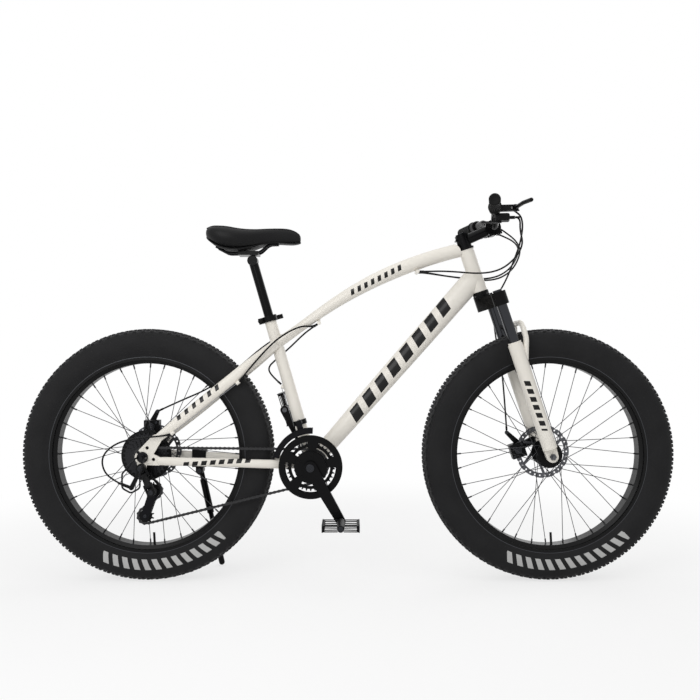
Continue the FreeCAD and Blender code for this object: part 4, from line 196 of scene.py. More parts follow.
def enamel(name, *rows):
    """Glossy enamel: a clear coat with a slight orange peel, and bars of black film on its outer sides."""
    material, tree, shader, place = new_finish(name, enamel_colour, Roughness=enamel_rough,
                                               Coat_Weight=coat_weight, Coat_Roughness=coat_rough,
                                               Specular_IOR_Level=enamel_gloss)
    cloud = add_node(tree, "TexNoise", {"Vector": place, "Scale": 1 / cloud_size, "Detail": 2.0})
    tint = add_node(tree, "Mix", {0: cloud.outputs[0], 6: linear(enamel_colour), 7: linear(enamel_shade)},
                    data_type="RGBA").outputs[2]
    side = add_node(tree, "SeparateXYZ", {0: place}).outputs["Y"]
    facing = add_node(tree, "TexCoord").outputs["Normal"]
    facing = add_node(tree, "SeparateXYZ", {0: facing}).outputs["Y"]
    outward = add_node(tree, "Math", {0: side, 1: facing}, operation="MULTIPLY").outputs[0]
    outward = add_node(tree, "Math", {0: outward, 1: 0.0}, operation="GREATER_THAN").outputs[0]
    for row in rows:
        bars = slanted_bars(tree, place, *row)
        bars = add_node(tree, "Math", {0: bars, 1: outward}, operation="MULTIPLY").outputs[0]
        tint = add_node(tree, "Mix", {0: bars, 6: tint, 7: linear(film_colour)}, data_type="RGBA").outputs[2]
    tree.links.new(tint, shader.inputs["Base Color"])
    peel = add_node(tree, "TexNoise", {"Vector": place, "Scale": 1 / peel_size, "Detail": 1.0})
    bump = add_node(tree, "Bump", {"Height": peel.outputs[0], "Strength": peel_strength,
                                   "Distance": peel_depth})
    tree.links.new(bump.outputs[0], shader.inputs["Normal"])
    return material


dress(enamel("off-white enamel on steel"), "head_tube", "seat_tube")
dress(enamel("off-white enamel, down tube bars", down_tube_film), "down_tube")
dress(enamel("off-white enamel, top tube bars", top_tube_film), "top_tube")
dress(enamel("off-white enamel, stay bars", chainstay_film, seat_stay_film), "rear_stays")


# Fork: magnesium lowers under the same enamel, hard-chromed steel stanchions and a
# forged black crown pressed on them. Its black finishes also dress the cranks, bar,
# stem, seatpost, hubs, calipers and levers.
fork_film = (507 * mm, 0, 585 * mm), -70.0, 150 * mm, 8 * mm, 24 * mm, 0.62
marks_from, marks_to, mark_strength, mark_depth = 0.3, 0.7, 0.12, 0.05 * mm
alloy_gloss, grit_spread, grit_strength = 0.1, 0.08, 0.2
dress(enamel("off-white enamel, fork bars", fork_film), "fork_lowers")


def metal(name, colour, smooth, dull, mark_size, stretch=(1, 1, 1)):
    """Bare or plated steel, duller and brighter in small marks, drawn out along the way it was worked."""
    material, tree, shader, place = new_finish(name, colour, Metallic=1.0)
    worked = add_node(tree, "Mapping", {"Vector": place, "Scale": stretch}).outputs[0]
    marks = add_node(tree, "TexNoise", {"Vector": worked, "Scale": 1 / mark_size, "Detail": 4.0})
    rough = add_node(tree, "MapRange", {"Value": marks.outputs[0], "From Min": marks_from,
                                        "From Max": marks_to, "To Min": smooth, "To Max": dull})
    tree.links.new(rough.outputs[0], shader.inputs["Roughness"])
    bump = add_node(tree, "Bump", {"Height": marks.outputs[0], "Strength": mark_strength,
                                   "Distance": mark_depth})
    tree.links.new(bump.outputs[0], shader.inputs["Normal"])
    return material


dress(metal("dark hard chrome on steel", "3A3B3E", smooth=0.07, dull=0.14, mark_size=5 * mm,
            stretch=(1, 1, 0.1)), "fork_stanchions")


def black_alloy(name, colour, roughness, blast_size, depth):
    """Black anodised aluminium: a dull sheen with grit from blasting, drawn coarser so that it shows."""
    material, tree, shader, place = new_finish(name, colour, Specular_IOR_Level=alloy_gloss)
    grit = add_node(tree, "TexNoise", {"Vector": place, "Scale": 1 / blast_size, "Detail": 3.0})
    rough = add_node(tree, "MapRange", {"Value": grit.outputs[0], "To Min": roughness - grit_spread,
                                        "To Max": roughness + grit_spread})
    tree.links.new(rough.outputs[0], shader.inputs["Roughness"])
    bump = add_node(tree, "Bump", {"Height": grit.outputs[0], "Strength": grit_strength, "Distance": depth})
    tree.links.new(bump.outputs[0], shader.inputs["Normal"])
    return material


satin_black = black_alloy("satin black anodised aluminium", "0B0B0C", roughness=0.38,
                          blast_size=1.2 * mm, depth=0.05 * mm)
gloss_black = black_alloy("gloss black enamel on alloy", "080809", roughness=0.22,
                          blast_size=6 * mm, depth=0.03 * mm)
dress(gloss_black, "fork_crown", "crank_arms", "seatpost", "stem", "handlebar", "kickstand_leg")
dress(satin_black, "bearing_cups", "seat_clamp", "seat_clamp_lever", "front_hub", "rear_hub", "front_caliper",
      "rear_caliper", "front_caliper_arm", "rear_caliper_arm", "front_derailleur_base", "kickstand_bracket",
      "left_brake_lever", "right_brake_lever")


# Wheels: black aluminium rims laced with steel spokes, and wide tires moulded in black
# rubber with small square knobs, on butyl tubes. A point of the casing has its radius
# and half width, a row of knobs its side, width, top radius, lean and phase.
wheel_places = {"front": 585 * mm, "rear": -585 * mm}
axle_height = 367.5 * mm
casing = ((279.6, 36.3), (287, 38.6), (300, 45.2), (311, 48.4), (322, 49.4), (333, 48.9), (343, 46.9),
          (351.5, 43.4), (357.4, 37.1), (360.7, 29.4), (361.8, 26.1), (363.4, 18.4), (363.5, 9.0))
casing_wall, casing_shoulder, casing_steps = 3.2, 340, 176
knob_rows = ((0.0, 10.0, 367.5, 0.0, 0.0), (11.5, 7.0, 367.5, 0.0, 0.5), (22.25, 7.5, 366.6, 12.0, 0.0),
             (33.25, 7.5, 363.1, 23.7, 0.5))
knob_pitches, knob_length, knob_top_share, knob_rise = 88, 9.6, 0.9, 4.6
knob_edge, knob_root = 0.7 * mm, 358.6 * mm
# The knob colour is painted light: a paler grey that stands in for light on the knobs' tops.
rubber_colour, dust_colour, knob_painted_light_colour, print_colour = "171718", "232324", "323233", "B4B4B3"
rubber_rough, rubber_gloss, dust_size = 0.66, 0.14, 60 * mm
bar_middle, bar_half = 317 * mm, 15 * mm
bar_turn, bar_arc, bar_pitch = math.radians(10), math.radians(34.0), math.radians(5.4)
bar_share, bar_lean = 0.55, 1.4
bead_lines, line_pitch = 296 * mm, 1.5 * mm
rubber_grain, rubber_depth, rubber_strength = 1.6 * mm, 0.2 * mm, 0.3


def tire_rubber(name, centre):
    """Moulded rubber: dull black, greyer where dust stays, with knobs painted paler as a painted highlight,
    ribbed at the rim, with pale bars low down. Its grain is drawn coarser so that it shows."""
    material, tree, shader, place = new_finish(name, rubber_colour, Roughness=rubber_rough,
                                               Specular_IOR_Level=rubber_gloss)
    local = add_node(tree, "Mapping", {"Vector": place, "Location": (-centre, 0, axle_height),
                                       "Scale": (1, 1, -1)})
    axes = add_node(tree, "SeparateXYZ", {0: local.outputs[0]}).outputs
    flat = add_node(tree, "CombineXYZ", {0: axes["X"], 1: axes["Z"]})
    radius = add_node(tree, "VectorMath", {0: flat.outputs[0]}, operation="LENGTH").outputs["Value"]
    angle = add_node(tree, "Math", {0: axes["X"], 1: axes["Z"]}, operation="ARCTAN2").outputs[0]
    slant = add_node(tree, "Math", {0: radius, 1: -bar_lean, 2: angle}, operation="MULTIPLY_ADD").outputs[0]
    step = add_node(tree, "Math", {0: slant, 1: bar_pitch}, operation="DIVIDE").outputs[0]
    step = add_node(tree, "Math", {0: step}, operation="FRACT").outputs[0]
    bar = add_node(tree, "Math", {0: step, 1: bar_share}, operation="LESS_THAN").outputs[0]
    arc = add_node(tree, "Math", {0: angle, 1: bar_turn, 2: bar_arc}, operation="COMPARE").outputs[0]
    band = add_node(tree, "Math", {0: radius, 1: bar_middle, 2: bar_half}, operation="COMPARE").outputs[0]
    inside = add_node(tree, "Math", {0: arc, 1: band}, operation="MULTIPLY").outputs[0]
    bars = add_node(tree, "Math", {0: bar, 1: inside}, operation="MULTIPLY").outputs[0]
    dust = add_node(tree, "TexNoise", {"Vector": place, "Scale": 1 / dust_size, "Detail": 5.0})
    tint = add_node(tree, "Mix", {0: dust.outputs[0], 6: linear(rubber_colour), 7: linear(dust_colour)},
                    data_type="RGBA").outputs[2]
    # Painted highlight: all past the casing's root, the knobs, is painted paler, standing in for light on
    # their tops.
    painted_knob_light = add_node(tree, "Math", {0: radius, 1: knob_root}, operation="GREATER_THAN").outputs[0]
    tint = add_node(tree, "Mix", {0: painted_knob_light, 6: tint, 7: linear(knob_painted_light_colour)}, data_type="RGBA").outputs[2]
    tint = add_node(tree, "Mix", {0: bars, 6: tint, 7: linear(print_colour)}, data_type="RGBA").outputs[2]
    tree.links.new(tint, shader.inputs["Base Color"])
    lines = add_node(tree, "Math", {0: radius, 1: line_pitch}, operation="PINGPONG").outputs[0]
    near_rim = add_node(tree, "Math", {0: radius, 1: bead_lines}, operation="LESS_THAN").outputs[0]
    ribs = add_node(tree, "Math", {0: lines, 1: near_rim}, operation="MULTIPLY").outputs[0]
    grain = add_node(tree, "TexNoise", {"Vector": place, "Scale": 1 / rubber_grain, "Detail": 2.0})
    relief = add_node(tree, "Math", {0: ribs, 1: 1 / mm, 2: grain.outputs[0]}, operation="MULTIPLY_ADD")
    bump = add_node(tree, "Bump", {"Height": relief.outputs[0], "Strength": rubber_strength,
                                   "Distance": rubber_depth})
    tree.links.new(bump.outputs[0], shader.inputs["Normal"])
    return material


def object_from(name, bm, *materials):
    """The finished bmesh as an object of the scene."""
    mesh = bpy.data.meshes.new(name)
    bm.to_mesh(mesh)
    bm.free()
    made = bpy.data.objects.new(name, mesh)
    for material in materials:
        made.data.materials.append(material)
    scene.collection.objects.link(made)
    return made


def turn_outline(bm, points, centre, axis, steps, closed=True):
    """Faces of an outline that is turned once round an axis."""
    verts = [bm.verts.new(point) for point in points]
    edges = [bm.edges.new(pair) for pair in zip(verts, verts[1:] + verts[:closed])]
    bmesh.ops.spin(bm, geom=verts + edges, cent=centre, axis=axis, angle=2 * math.pi, steps=steps,
                   use_merge=True)


def join(part, bm):
    """Moves all of one bmesh into another."""
    mesh = bpy.data.meshes.new("joined part")
    part.to_mesh(mesh)
    part.free()
    bm.from_mesh(mesh)
    bpy.data.meshes.remove(mesh)


def build_tire(name, centre):
    hub = Vector((centre, 0, axle_height))
    bm = bmesh.new()
    outer = [Vector((centre, side * mm, axle_height + radius * mm)) for radius, side in casing]
    inner = [Vector((centre, (side - casing_wall) * mm,
                     axle_height + (radius - casing_wall * (radius > casing_shoulder)) * mm))
             for radius, side in casing]
    ring = outer + [Vector((p.x, -p.y, p.z)) for p in reversed(outer)]
    ring += [Vector((p.x, -p.y, p.z)) for p in inner] + list(reversed(inner))
    turn_outline(bm, ring, hub, (0, 1, 0), casing_steps)
    bmesh.ops.recalc_face_normals(bm, faces=bm.faces[:])
    for face in bm.faces:
        face.smooth = True
    tread = bmesh.new()
    for side, wide, top, lean, phase in knob_rows:
        for sign in ((1, -1) if side else (1,)):
            knob = bmesh.ops.create_cube(tread, size=1.0)["verts"]
            bmesh.ops.scale(tread, verts=knob, vec=(knob_length * mm, wide * mm, knob_rise * mm))
            bmesh.ops.scale(tread, verts=[vert for vert in knob if vert.co.z > 0],
                            vec=(knob_top_share, knob_top_share, 1))
            spot = Matrix.Translation((0, side * sign * mm, (top - knob_rise / 2) * mm))
            turn = Matrix.Rotation(2 * math.pi / knob_pitches * phase, 4, "Y")
            tilt = Matrix.Rotation(-math.radians(lean) * sign, 4, "X")
            bmesh.ops.transform(tread, verts=knob, matrix=Matrix.Translation(hub) @ turn @ spot @ tilt)
    bmesh.ops.bevel(tread, geom=tread.edges[:], offset=knob_edge, affect="EDGES", segments=2, profile=0.5,
                    material=-1)
    bmesh.ops.spin(tread, geom=tread.verts[:] + tread.edges[:] + tread.faces[:], cent=hub, axis=(0, 1, 0),
                   angle=2 * math.pi * (knob_pitches - 1) / knob_pitches, steps=knob_pitches - 1,
                   use_duplicate=True)
    join(tread, bm)
    return object_from(name, bm, tire_rubber("moulded black rubber, " + name, centre))


for end, centre in wheel_places.items():
    tire = build_tire(end + "_tire_with_tread", centre)
    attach(tire, end + "_wheel")
    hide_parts(end + "_tire")


mould_gloss, mould_cloud, mould_strength = 0.12, 25 * mm, 0.3


def moulded(name, colour, tint_colour, roughness, grain_size, depth):
    """Moulded rubber or nylon: dull, faintly clouded, its mould's grain drawn coarser so that it shows."""
    material, tree, shader, place = new_finish(name, colour, Roughness=roughness,
                                               Specular_IOR_Level=mould_gloss)
    cloud = add_node(tree, "TexNoise", {"Vector": place, "Scale": 1 / mould_cloud, "Detail": 3.0})
    tint = add_node(tree, "Mix", {0: cloud.outputs[0], 6: linear(colour), 7: linear(tint_colour)},
                    data_type="RGBA").outputs[2]
    tree.links.new(tint, shader.inputs["Base Color"])
    grain = add_node(tree, "TexNoise", {"Vector": place, "Scale": 1 / grain_size, "Detail": 3.0})
    bump = add_node(tree, "Bump", {"Height": grain.outputs[0], "Strength": mould_strength, "Distance": depth})
    tree.links.new(bump.outputs[0], shader.inputs["Normal"])
    return material


dress(moulded("black butyl", "161616", "202020", roughness=0.6, grain_size=2 * mm, depth=0.1 * mm),
      "front_inner_tube", "rear_inner_tube")
dress(metal("black drawn steel wire", "3C3C3E", smooth=0.25, dull=0.42, mark_size=1.5 * mm),
      "front_spokes", "rear_spokes")
rim_black, rim_cut, rim_gloss, rim_edge, rim_line = "0C0C0D", "48494C", 0.15, 284.4 * mm, 0.7 * mm
rim_smooth, ground_smooth, turned_dull = 0.22, 0.2, 0.46
ground_strength, ground_depth = 0.3, 0.05 * mm


def wheel_radius(tree, place, centre, height):
    """Distance of a point from the axis of a wheel or ring."""
    local = add_node(tree, "Mapping", {"Vector": place, "Location": (-centre, 0, -height)})
    flat = add_node(tree, "VectorMath", {0: local.outputs[0], 1: (1, 0, 1)}, operation="MULTIPLY")
    return add_node(tree, "VectorMath", {0: flat.outputs[0]}, operation="LENGTH").outputs["Value"]


def rim_finish(name, centre):
    """Black anodised rim, its edge turned bright afterwards in lines drawn wider so that they show."""
    material, tree, shader, place = new_finish(name, rim_black, Specular_IOR_Level=rim_gloss)
    radius = wheel_radius(tree, place, centre, axle_height)
    bright = add_node(tree, "Math", {0: radius, 1: rim_edge}, operation="GREATER_THAN").outputs[0]
    tint = add_node(tree, "Mix", {0: bright, 6: linear(rim_black), 7: linear(rim_cut)}, data_type="RGBA")
    tree.links.new(tint.outputs[2], shader.inputs["Base Color"])
    tree.links.new(bright, shader.inputs["Metallic"])
    drawn = add_node(tree, "TexNoise", {"W": radius, "Scale": 1 / rim_line, "Detail": 2.0},
                     noise_dimensions="1D")
    rough = add_node(tree, "MapRange", {"Value": drawn.outputs[0], "To Min": rim_smooth,
                                        "To Max": turned_dull})
    tree.links.new(rough.outputs[0], shader.inputs["Roughness"])
    return material


def ring_ground(name, colour, centre, height, groove):
    """Steel ground on a turntable: rings round the axle, drawn wider so that they show."""
    material, tree, shader, place = new_finish(name, colour, Metallic=1.0)
    radius = wheel_radius(tree, place, centre, height)
    rings = add_node(tree, "TexNoise", {"W": radius, "Scale": 1 / groove, "Detail": 2.0},
                     noise_dimensions="1D")
    rough = add_node(tree, "MapRange", {"Value": rings.outputs[0], "To Min": ground_smooth,
                                        "To Max": turned_dull})
    tree.links.new(rough.outputs[0], shader.inputs["Roughness"])
    bump = add_node(tree, "Bump", {"Height": rings.outputs[0], "Strength": ground_strength,
                                   "Distance": ground_depth})
    tree.links.new(bump.outputs[0], shader.inputs["Normal"])
    return material


for end, centre in wheel_places.items():
    dress(rim_finish("black rim with a bright edge, " + end, centre), end + "_rim")
    dress(ring_ground("ring-ground stainless steel, " + end, "5E5F63", centre, axle_height, groove=0.8 * mm),
          end + "_rotor")
dress(metal("dark zinc plated steel", "5C5D60", smooth=0.28, dull=0.45, mark_size=3 * mm),
      "front_axle", "crank_spindle")
dress(metal("black zinc on steel", "262628", smooth=0.24, dull=0.4, mark_size=3 * mm), "rear_axle")


# Drive: a roller chain of stamped steel plates, black steel chainrings whose teeth
# are worn bright under a moulded guard, a steel freewheel, and derailleurs of nylon.
# A row of teeth has its place across the bicycle and its root radius.
bracket_place = (-107.5 * mm, 338 * mm)
ring_black, tooth_bright = "080809", "5A5B5E"
ring_rows = ((-60.0 * mm, 46.5 * mm), (-67.5 * mm, 66.5 * mm), (-75.0 * mm, 82.5 * mm))
ring_half, ring_gloss = 2.0 * mm, 0.1
scuff_size, scuff_from, scuff_to, scuff_smooth, scuff_dull = 2.5 * mm, 0.3, 0.5, 0.2, 0.5


def chainring_finish(name):
    """Black enamel on the rings, rubbed off the teeth by the chain."""
    material, tree, shader, place = new_finish(name, ring_black, Specular_IOR_Level=ring_gloss)
    radius = wheel_radius(tree, place, *bracket_place)
    side = add_node(tree, "SeparateXYZ", {0: place}).outputs["Y"]
    worn = None
    for ring_side, root in ring_rows:
        level = add_node(tree, "Math", {0: side, 1: ring_side, 2: ring_half}, operation="COMPARE").outputs[0]
        outer = add_node(tree, "Math", {0: radius, 1: root}, operation="GREATER_THAN").outputs[0]
        teeth = add_node(tree, "Math", {0: level, 1: outer}, operation="MULTIPLY").outputs[0]
        if worn:
            teeth = add_node(tree, "Math", {0: worn, 1: teeth}, operation="MAXIMUM").outputs[0]
        worn = teeth
    scuffs = add_node(tree, "TexNoise", {"Vector": place, "Scale": 1 / scuff_size, "Detail": 4.0})
    bare = add_node(tree, "Math", {0: worn, 1: scuffs.outputs[0]}, operation="MULTIPLY").outputs[0]
    bare = add_node(tree, "MapRange", {"Value": bare, "From Min": scuff_from,
                                       "From Max": scuff_to}).outputs[0]
    tint = add_node(tree, "Mix", {0: bare, 6: linear(ring_black), 7: linear(tooth_bright)}, data_type="RGBA")
    tree.links.new(tint.outputs[2], shader.inputs["Base Color"])
    tree.links.new(bare, shader.inputs["Metallic"])
    rough = add_node(tree, "MapRange", {"Value": scuffs.outputs[0], "To Min": scuff_smooth,
                                        "To Max": scuff_dull})
    tree.links.new(rough.outputs[0], shader.inputs["Roughness"])
    return material


dress(chainring_finish("black enamelled chainrings"), "chainrings")
dress(metal("oiled chain steel", "3A3A3B", smooth=0.22, dull=0.45, mark_size=3 * mm), "chain")
dress(ring_ground("black steel sprockets", "2E2E30", wheel_places["rear"], axle_height, groove=1.0 * mm),
      "freewheel")
black_nylon = moulded("moulded black nylon", "0C0C0D", "131314", roughness=0.48, grain_size=0.9 * mm,
                      depth=0.1 * mm)
dress(black_nylon, "control_pods", "left_shift_lever", "right_shift_lever", "guide_pulley", "tension_pulley",
      "rear_derailleur_base", "rear_derailleur_link", "rear_derailleur_knuckle", "saddle_base")
dress(metal("black stamped steel", "1C1C1E", smooth=0.25, dull=0.45, mark_size=4 * mm),
      "front_derailleur_cage", "rear_derailleur_cage", "saddle_rails")


# Spoke guard: a disc of moulded black nylon with a rolled rim, clipped on the spokes
# behind the freewheel, where it keeps a thrown chain off them.
guard_bore, guard_face, guard_back, guard_radius = 40.0, -46.2, -45.0, 73.0
guard_rim, guard_proud, guard_steps = 2.5, 0.5, 96


def build_spoke_guard(name):
    bm = bmesh.new()
    outline = ((guard_bore, guard_face), (guard_radius - guard_rim, guard_face),
               (guard_radius - guard_rim / 2, guard_face - guard_proud),
               (guard_radius, guard_face - guard_proud), (guard_radius, guard_back), (guard_bore, guard_back))
    hub = Vector((wheel_places["rear"], 0, axle_height))
    points = [hub + Vector((0, side, radius)) * mm for radius, side in outline]
    turn_outline(bm, points, hub, (0, 1, 0), guard_steps)
    bmesh.ops.recalc_face_normals(bm, faces=bm.faces[:])
    return object_from(name, bm, black_nylon)


spoke_guard = build_spoke_guard("spoke_guard")
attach(spoke_guard, "rear_wheel")


# Pedals: a nylon barrel turns on each axle and carries two toothed steel plates on
# fanned nylon webs, open between them so that mud falls through.
pedal_places = {"right": (Vector((-20.0, -114.5, 186.4)), -1, 0.0),
                "left": (Vector((-195.0, 114.5, 489.6)), 1, 73.0)}
pedal_wide, pedal_half = 95.0, 52.0
barrel_radius, barrel_neck, barrel_bore, bore_deep, barrel_steps = 12.0, 9.6, 7.0, 90.5, 32
plate_thick, plate_half_high, rail_thick = 3.0, 8.2, 5.0
plate_teeth, tooth_long, tooth_high, tooth_top_share = 7, 7.0, 2.8, 0.5
web_wide, slat_start, slat_thick, slat_edge = 5.0, 8.0, 2.5, 0.4
slat_roots, slat_ends = (-7.5, -2.6, 2.6, 7.5), (-7.6, -3.2, 3.2, 7.6)
weld_gap = 0.01 * mm


def add_slab(bm, size, place, material=0, turn=0.0, top_share=1.0):
    """A bevelled bar in mm, its far end narrowed, turned in the wheel plane and put in place."""
    verts = bmesh.ops.create_cube(bm, size=1.0)["verts"]
    bmesh.ops.scale(bm, verts=verts, vec=Vector(size) * mm)
    bmesh.ops.scale(bm, verts=[vert for vert in verts if vert.co.z > 0], vec=(1, top_share, 1))
    bmesh.ops.transform(bm, verts=verts,
                        matrix=Matrix.Translation(Vector(place) * mm) @ Matrix.Rotation(turn, 4, "Y"))
    faces = {face for vert in verts for face in vert.link_faces}
    for face in faces:
        face.material_index = material
    bmesh.ops.bevel(bm, geom=list({edge for face in faces for edge in face.edges}), offset=slat_edge * mm,
                    affect="EDGES", segments=1, profile=0.5, material=-1)


def build_pedal(name, start, side, turn):
    bm = bmesh.new()
    middle = side * pedal_wide / 2
    barrel = ((0, bore_deep), (barrel_bore, bore_deep), (barrel_bore, 0), (barrel_radius, 0),
              (barrel_neck, pedal_wide), (0, pedal_wide))
    points = [Vector((0, side * along, radius)) * mm for radius, along in barrel]
    turn_outline(bm, points, (0, 0, 0), (0, 1, 0), barrel_steps, closed=False)
    bmesh.ops.remove_doubles(bm, verts=bm.verts[:], dist=weld_gap)
    for sign in (-1, 1):
        edge = sign * (pedal_half - plate_thick / 2)
        add_slab(bm, (plate_thick, pedal_wide, 2 * plate_half_high), (edge, middle, 0), 1)
        rail = sign * (pedal_half - plate_thick - rail_thick / 2)
        add_slab(bm, (rail_thick, pedal_wide, 2 * plate_half_high), (rail, middle, 0))
        for number in range(plate_teeth):
            along = side * (number + 0.5) * pedal_wide / plate_teeth
            for level in (0, math.pi):
                lift = (plate_half_high + tooth_high / 2) * math.cos(level)
                add_slab(bm, (plate_thick, tooth_long, tooth_high), (edge, along, lift), 1, level,
                         tooth_top_share)
        for along in (side * web_wide / 2, side * (pedal_wide - web_wide / 2)):
            for root, end in zip(slat_roots, slat_ends):
                reach = pedal_half - plate_thick - slat_start
                slope = math.atan2(root - end, sign * reach)
                middle_out = sign * (slat_start + reach / 2)
                add_slab(bm, (reach, web_wide, slat_thick), (middle_out, along, (root + end) / 2), 0,
                         slope if sign > 0 else slope + math.pi)
    bmesh.ops.transform(bm, verts=bm.verts[:], matrix=Matrix.Translation(start * mm)
                        @ Matrix.Rotation(math.radians(turn), 4, "Y"))
    bmesh.ops.recalc_face_normals(bm, faces=bm.faces[:])
    return object_from(name, bm, black_nylon, plate_steel)


plate_steel = metal("worn zinc on stamped steel", "343537", smooth=0.25, dull=0.45, mark_size=2 * mm)
for hand, (start, side, turn) in pedal_places.items():
    pedal = build_pedal(hand + "_pedal_with_plates", start, side, turn)
    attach(pedal, hand + "_pedal")
    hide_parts(hand + "_pedal")


# Screws and caps: turned steel heads under black zinc, each with a hexagon broached in
# its top, on the calipers, levers, fork, stem, derailleur, stand, cranks and pedals.
# A head has its place in mm, the way that it faces, its radius and its height.
out_right, out_left, up, down = (0, -1, 0), (0, 1, 0), (0, 0, 1), (0, 0, -1)
steer_up = (-0.3173, 0, 0.9483)
screw_groups = {
    "front_caliper_screws": ("fork_lower", (((511.0, 46.0, 371.2), out_right, 11.0, 4.0),
                                            ((520.4, 46.0, 390.2), out_right, 4.0, 3.0),
                                            ((501.6, 46.0, 352.2), out_right, 4.0, 3.0),
                                            ((502.1, 78.0, 353.5), out_left, 4.5, 3.5),
                                            ((525.3, 78.0, 360.2), out_left, 4.5, 3.5),
                                            ((516.7, 85.0, 388.9), out_left, 6.5, 2.5))),
    "front_arm_screws": ("front_brake_arm", (((482.5, 78.5, 421.8), out_right, 5.0, 3.0),
                                             ((482.5, 84.5, 421.8), out_left, 4.5, 3.0))),
    "rear_caliper_screws": ("frame", (((-594.0, 58.0, 441.5), out_right, 11.0, 4.0),
                                      ((-579.0, 58.0, 453.5), out_right, 4.0, 3.0),
                                      ((-609.0, 58.0, 429.5), out_right, 4.0, 3.0),
                                      ((-600.0, 97.0, 451.5), out_left, 6.5, 2.5))),
    "rear_arm_screws": ("rear_brake_arm", (((-583.0, 90.5, 485.5), out_right, 5.0, 3.0),
                                           ((-583.0, 96.5, 485.5), out_left, 4.5, 3.0))),
    "lever_screws": ("steering", (((457.5, -192.3, 1069.4), up, 4.5, 2.0),
                                  ((457.5, 192.3, 1069.4), up, 4.5, 2.0),
                                  ((457.5, -192.3, 1053.4), down, 4.0, 2.0),
                                  ((457.5, 192.3, 1053.4), down, 4.0, 2.0))),
    "fork_caps": ("steering", (((427.3, -82.0, 838.8), steer_up, 13.5, 6.0),
                               ((427.3, 82.0, 838.8), steer_up, 13.5, 6.0),
                               ((332.4, 0.0, 1015.3), steer_up, 5.5, 2.5))),
    "derailleur_screws": ("frame", (((-587.0, -113.5, 337.5), out_right, 8.0, 3.0),)),
    "knuckle_screw": ("rd_knuckle", (((-555.3, -122.0, 271.0), out_right, 7.0, 2.5),)),
    "cage_screw": ("rd_cage", (((-579.7, -86.2, 198.6), out_right, 5.0, 2.5),)),
    "stand_screws": ("frame", (((-452.0, 74.0, 306.0), out_right, 7.5, 3.0),)),
    "stand_pivot_screw": ("kickstand", (((-452.0, 114.4, 306.0), out_left, 8.0, 3.0),)),
    "crank_caps": ("crank", (((-107.5, -108.0, 338.0), out_right, 11.5, 2.0),
                             ((-107.5, 108.0, 338.0), out_left, 11.5, 2.0))),
    "right_pedal_cap": ("right_pedal", (((-20.0, -209.5, 186.4), out_right, 7.5, 1.5),)),
    "left_pedal_cap": ("left_pedal", (((-195.0, 209.5, 489.6), out_left, 7.5, 1.5),)),
}
head_segments, head_edge, head_sunk = 24, 0.7, 0.3
socket_share, socket_depth_share, socket_step = 0.45, 0.6, 0.1


def build_screws(name, heads):
    bm = bmesh.new()
    for place, along, radius, height in heads:
        head = bmesh.new()
        tall = (height + head_sunk) * mm
        bmesh.ops.create_cone(head, cap_ends=True, segments=head_segments, radius1=radius * mm,
                              radius2=radius * mm, depth=tall,
                              matrix=Matrix.Translation((0, 0, tall / 2 - head_sunk * mm)))
        top = max(head.faces, key=lambda face: face.calc_center_median().z)
        bmesh.ops.bevel(head, geom=top.edges[:], offset=head_edge * mm, affect="EDGES", segments=2,
                        profile=0.5, material=-1)
        top = max(head.faces, key=lambda face: face.calc_center_median().z)
        bmesh.ops.inset_region(head, faces=[top], thickness=radius * (1 - socket_share) / 2 * mm)
        for vert in top.verts:
            turn = math.atan2(vert.co.y, vert.co.x)
            reach = radius * socket_share * mm / math.cos(turn % (math.pi / 3) - math.pi / 6)
            vert.co.x, vert.co.y = reach * math.cos(turn), reach * math.sin(turn)
        bmesh.ops.inset_region(head, faces=[top], thickness=socket_step * mm,
                               depth=-height * socket_depth_share * mm)
        turn = Vector(along).to_track_quat("Z", "Y").to_matrix().to_4x4()
        bmesh.ops.transform(head, verts=head.verts[:], matrix=Matrix.Translation(Vector(place) * mm) @ turn)
        join(head, bm)
    return object_from(name, bm, screw_black)


screw_black = metal("black zinc on turned steel", "333437", smooth=0.2, dull=0.36, mark_size=1.5 * mm)
for name, (body, heads) in screw_groups.items():
    screws = build_screws(name, heads)
    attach(screws, body)


# Grips: ringed black rubber sleeves pushed over the ends of the bar, each with a
# collar at the hand's inner side and a closed end with a sunk middle.
bar_end, bar_way = (378.5, 330.0, 1061.4), (-0.1665, 0.986, 0)
grip_long, grip_cap, grip_bore = 125.0, 3.0, 11.25
grip_radius, groove_depth, collar_radius, collar_wide = 15.7, 0.9, 18.9, 3.0
groove_first, groove_pitch, grooves, groove_wide, groove_slope = 8.0, 6.4, 18, 3.0, 0.8
collar_edge, collar_back, collar_fillet = 0.8, 0.6, 1.2
end_edge, sunk_radius, sunk_deep, grip_steps = 1.5, 10.5, 1.0, 48


def build_grip(name, end, out):
    ribs = []
    for number in range(grooves):
        start = groove_first + number * groove_pitch
        floor_radius = grip_radius - groove_depth
        ribs += [(start, grip_radius), (start + groove_slope, floor_radius),
                 (start + groove_wide - groove_slope, floor_radius), (start + groove_wide, grip_radius)]
    total = grip_long + grip_cap
    outline = [(grip_long, 0), (grip_long, grip_bore), (0, grip_bore), (0, collar_radius - collar_edge),
               (collar_edge, collar_radius), (collar_wide - collar_back, collar_radius),
               (collar_wide, collar_radius - collar_edge), (collar_wide + collar_fillet, grip_radius)]
    outline += ribs + [(total - end_edge, grip_radius), (total, grip_radius - end_edge), (total, sunk_radius),
                       (total - sunk_deep, sunk_radius - sunk_deep), (total - sunk_deep, 0)]
    first = end - out * grip_long * mm
    bm = bmesh.new()
    points = [first + out * along * mm + Vector((0, 0, radius * mm)) for along, radius in outline]
    turn_outline(bm, points, first, out, grip_steps, closed=False)
    bmesh.ops.remove_doubles(bm, verts=bm.verts[:], dist=weld_gap)
    bmesh.ops.recalc_face_normals(bm, faces=bm.faces[:])
    for face in bm.faces:
        face.smooth = True
    return object_from(name, bm, grip_rubber)


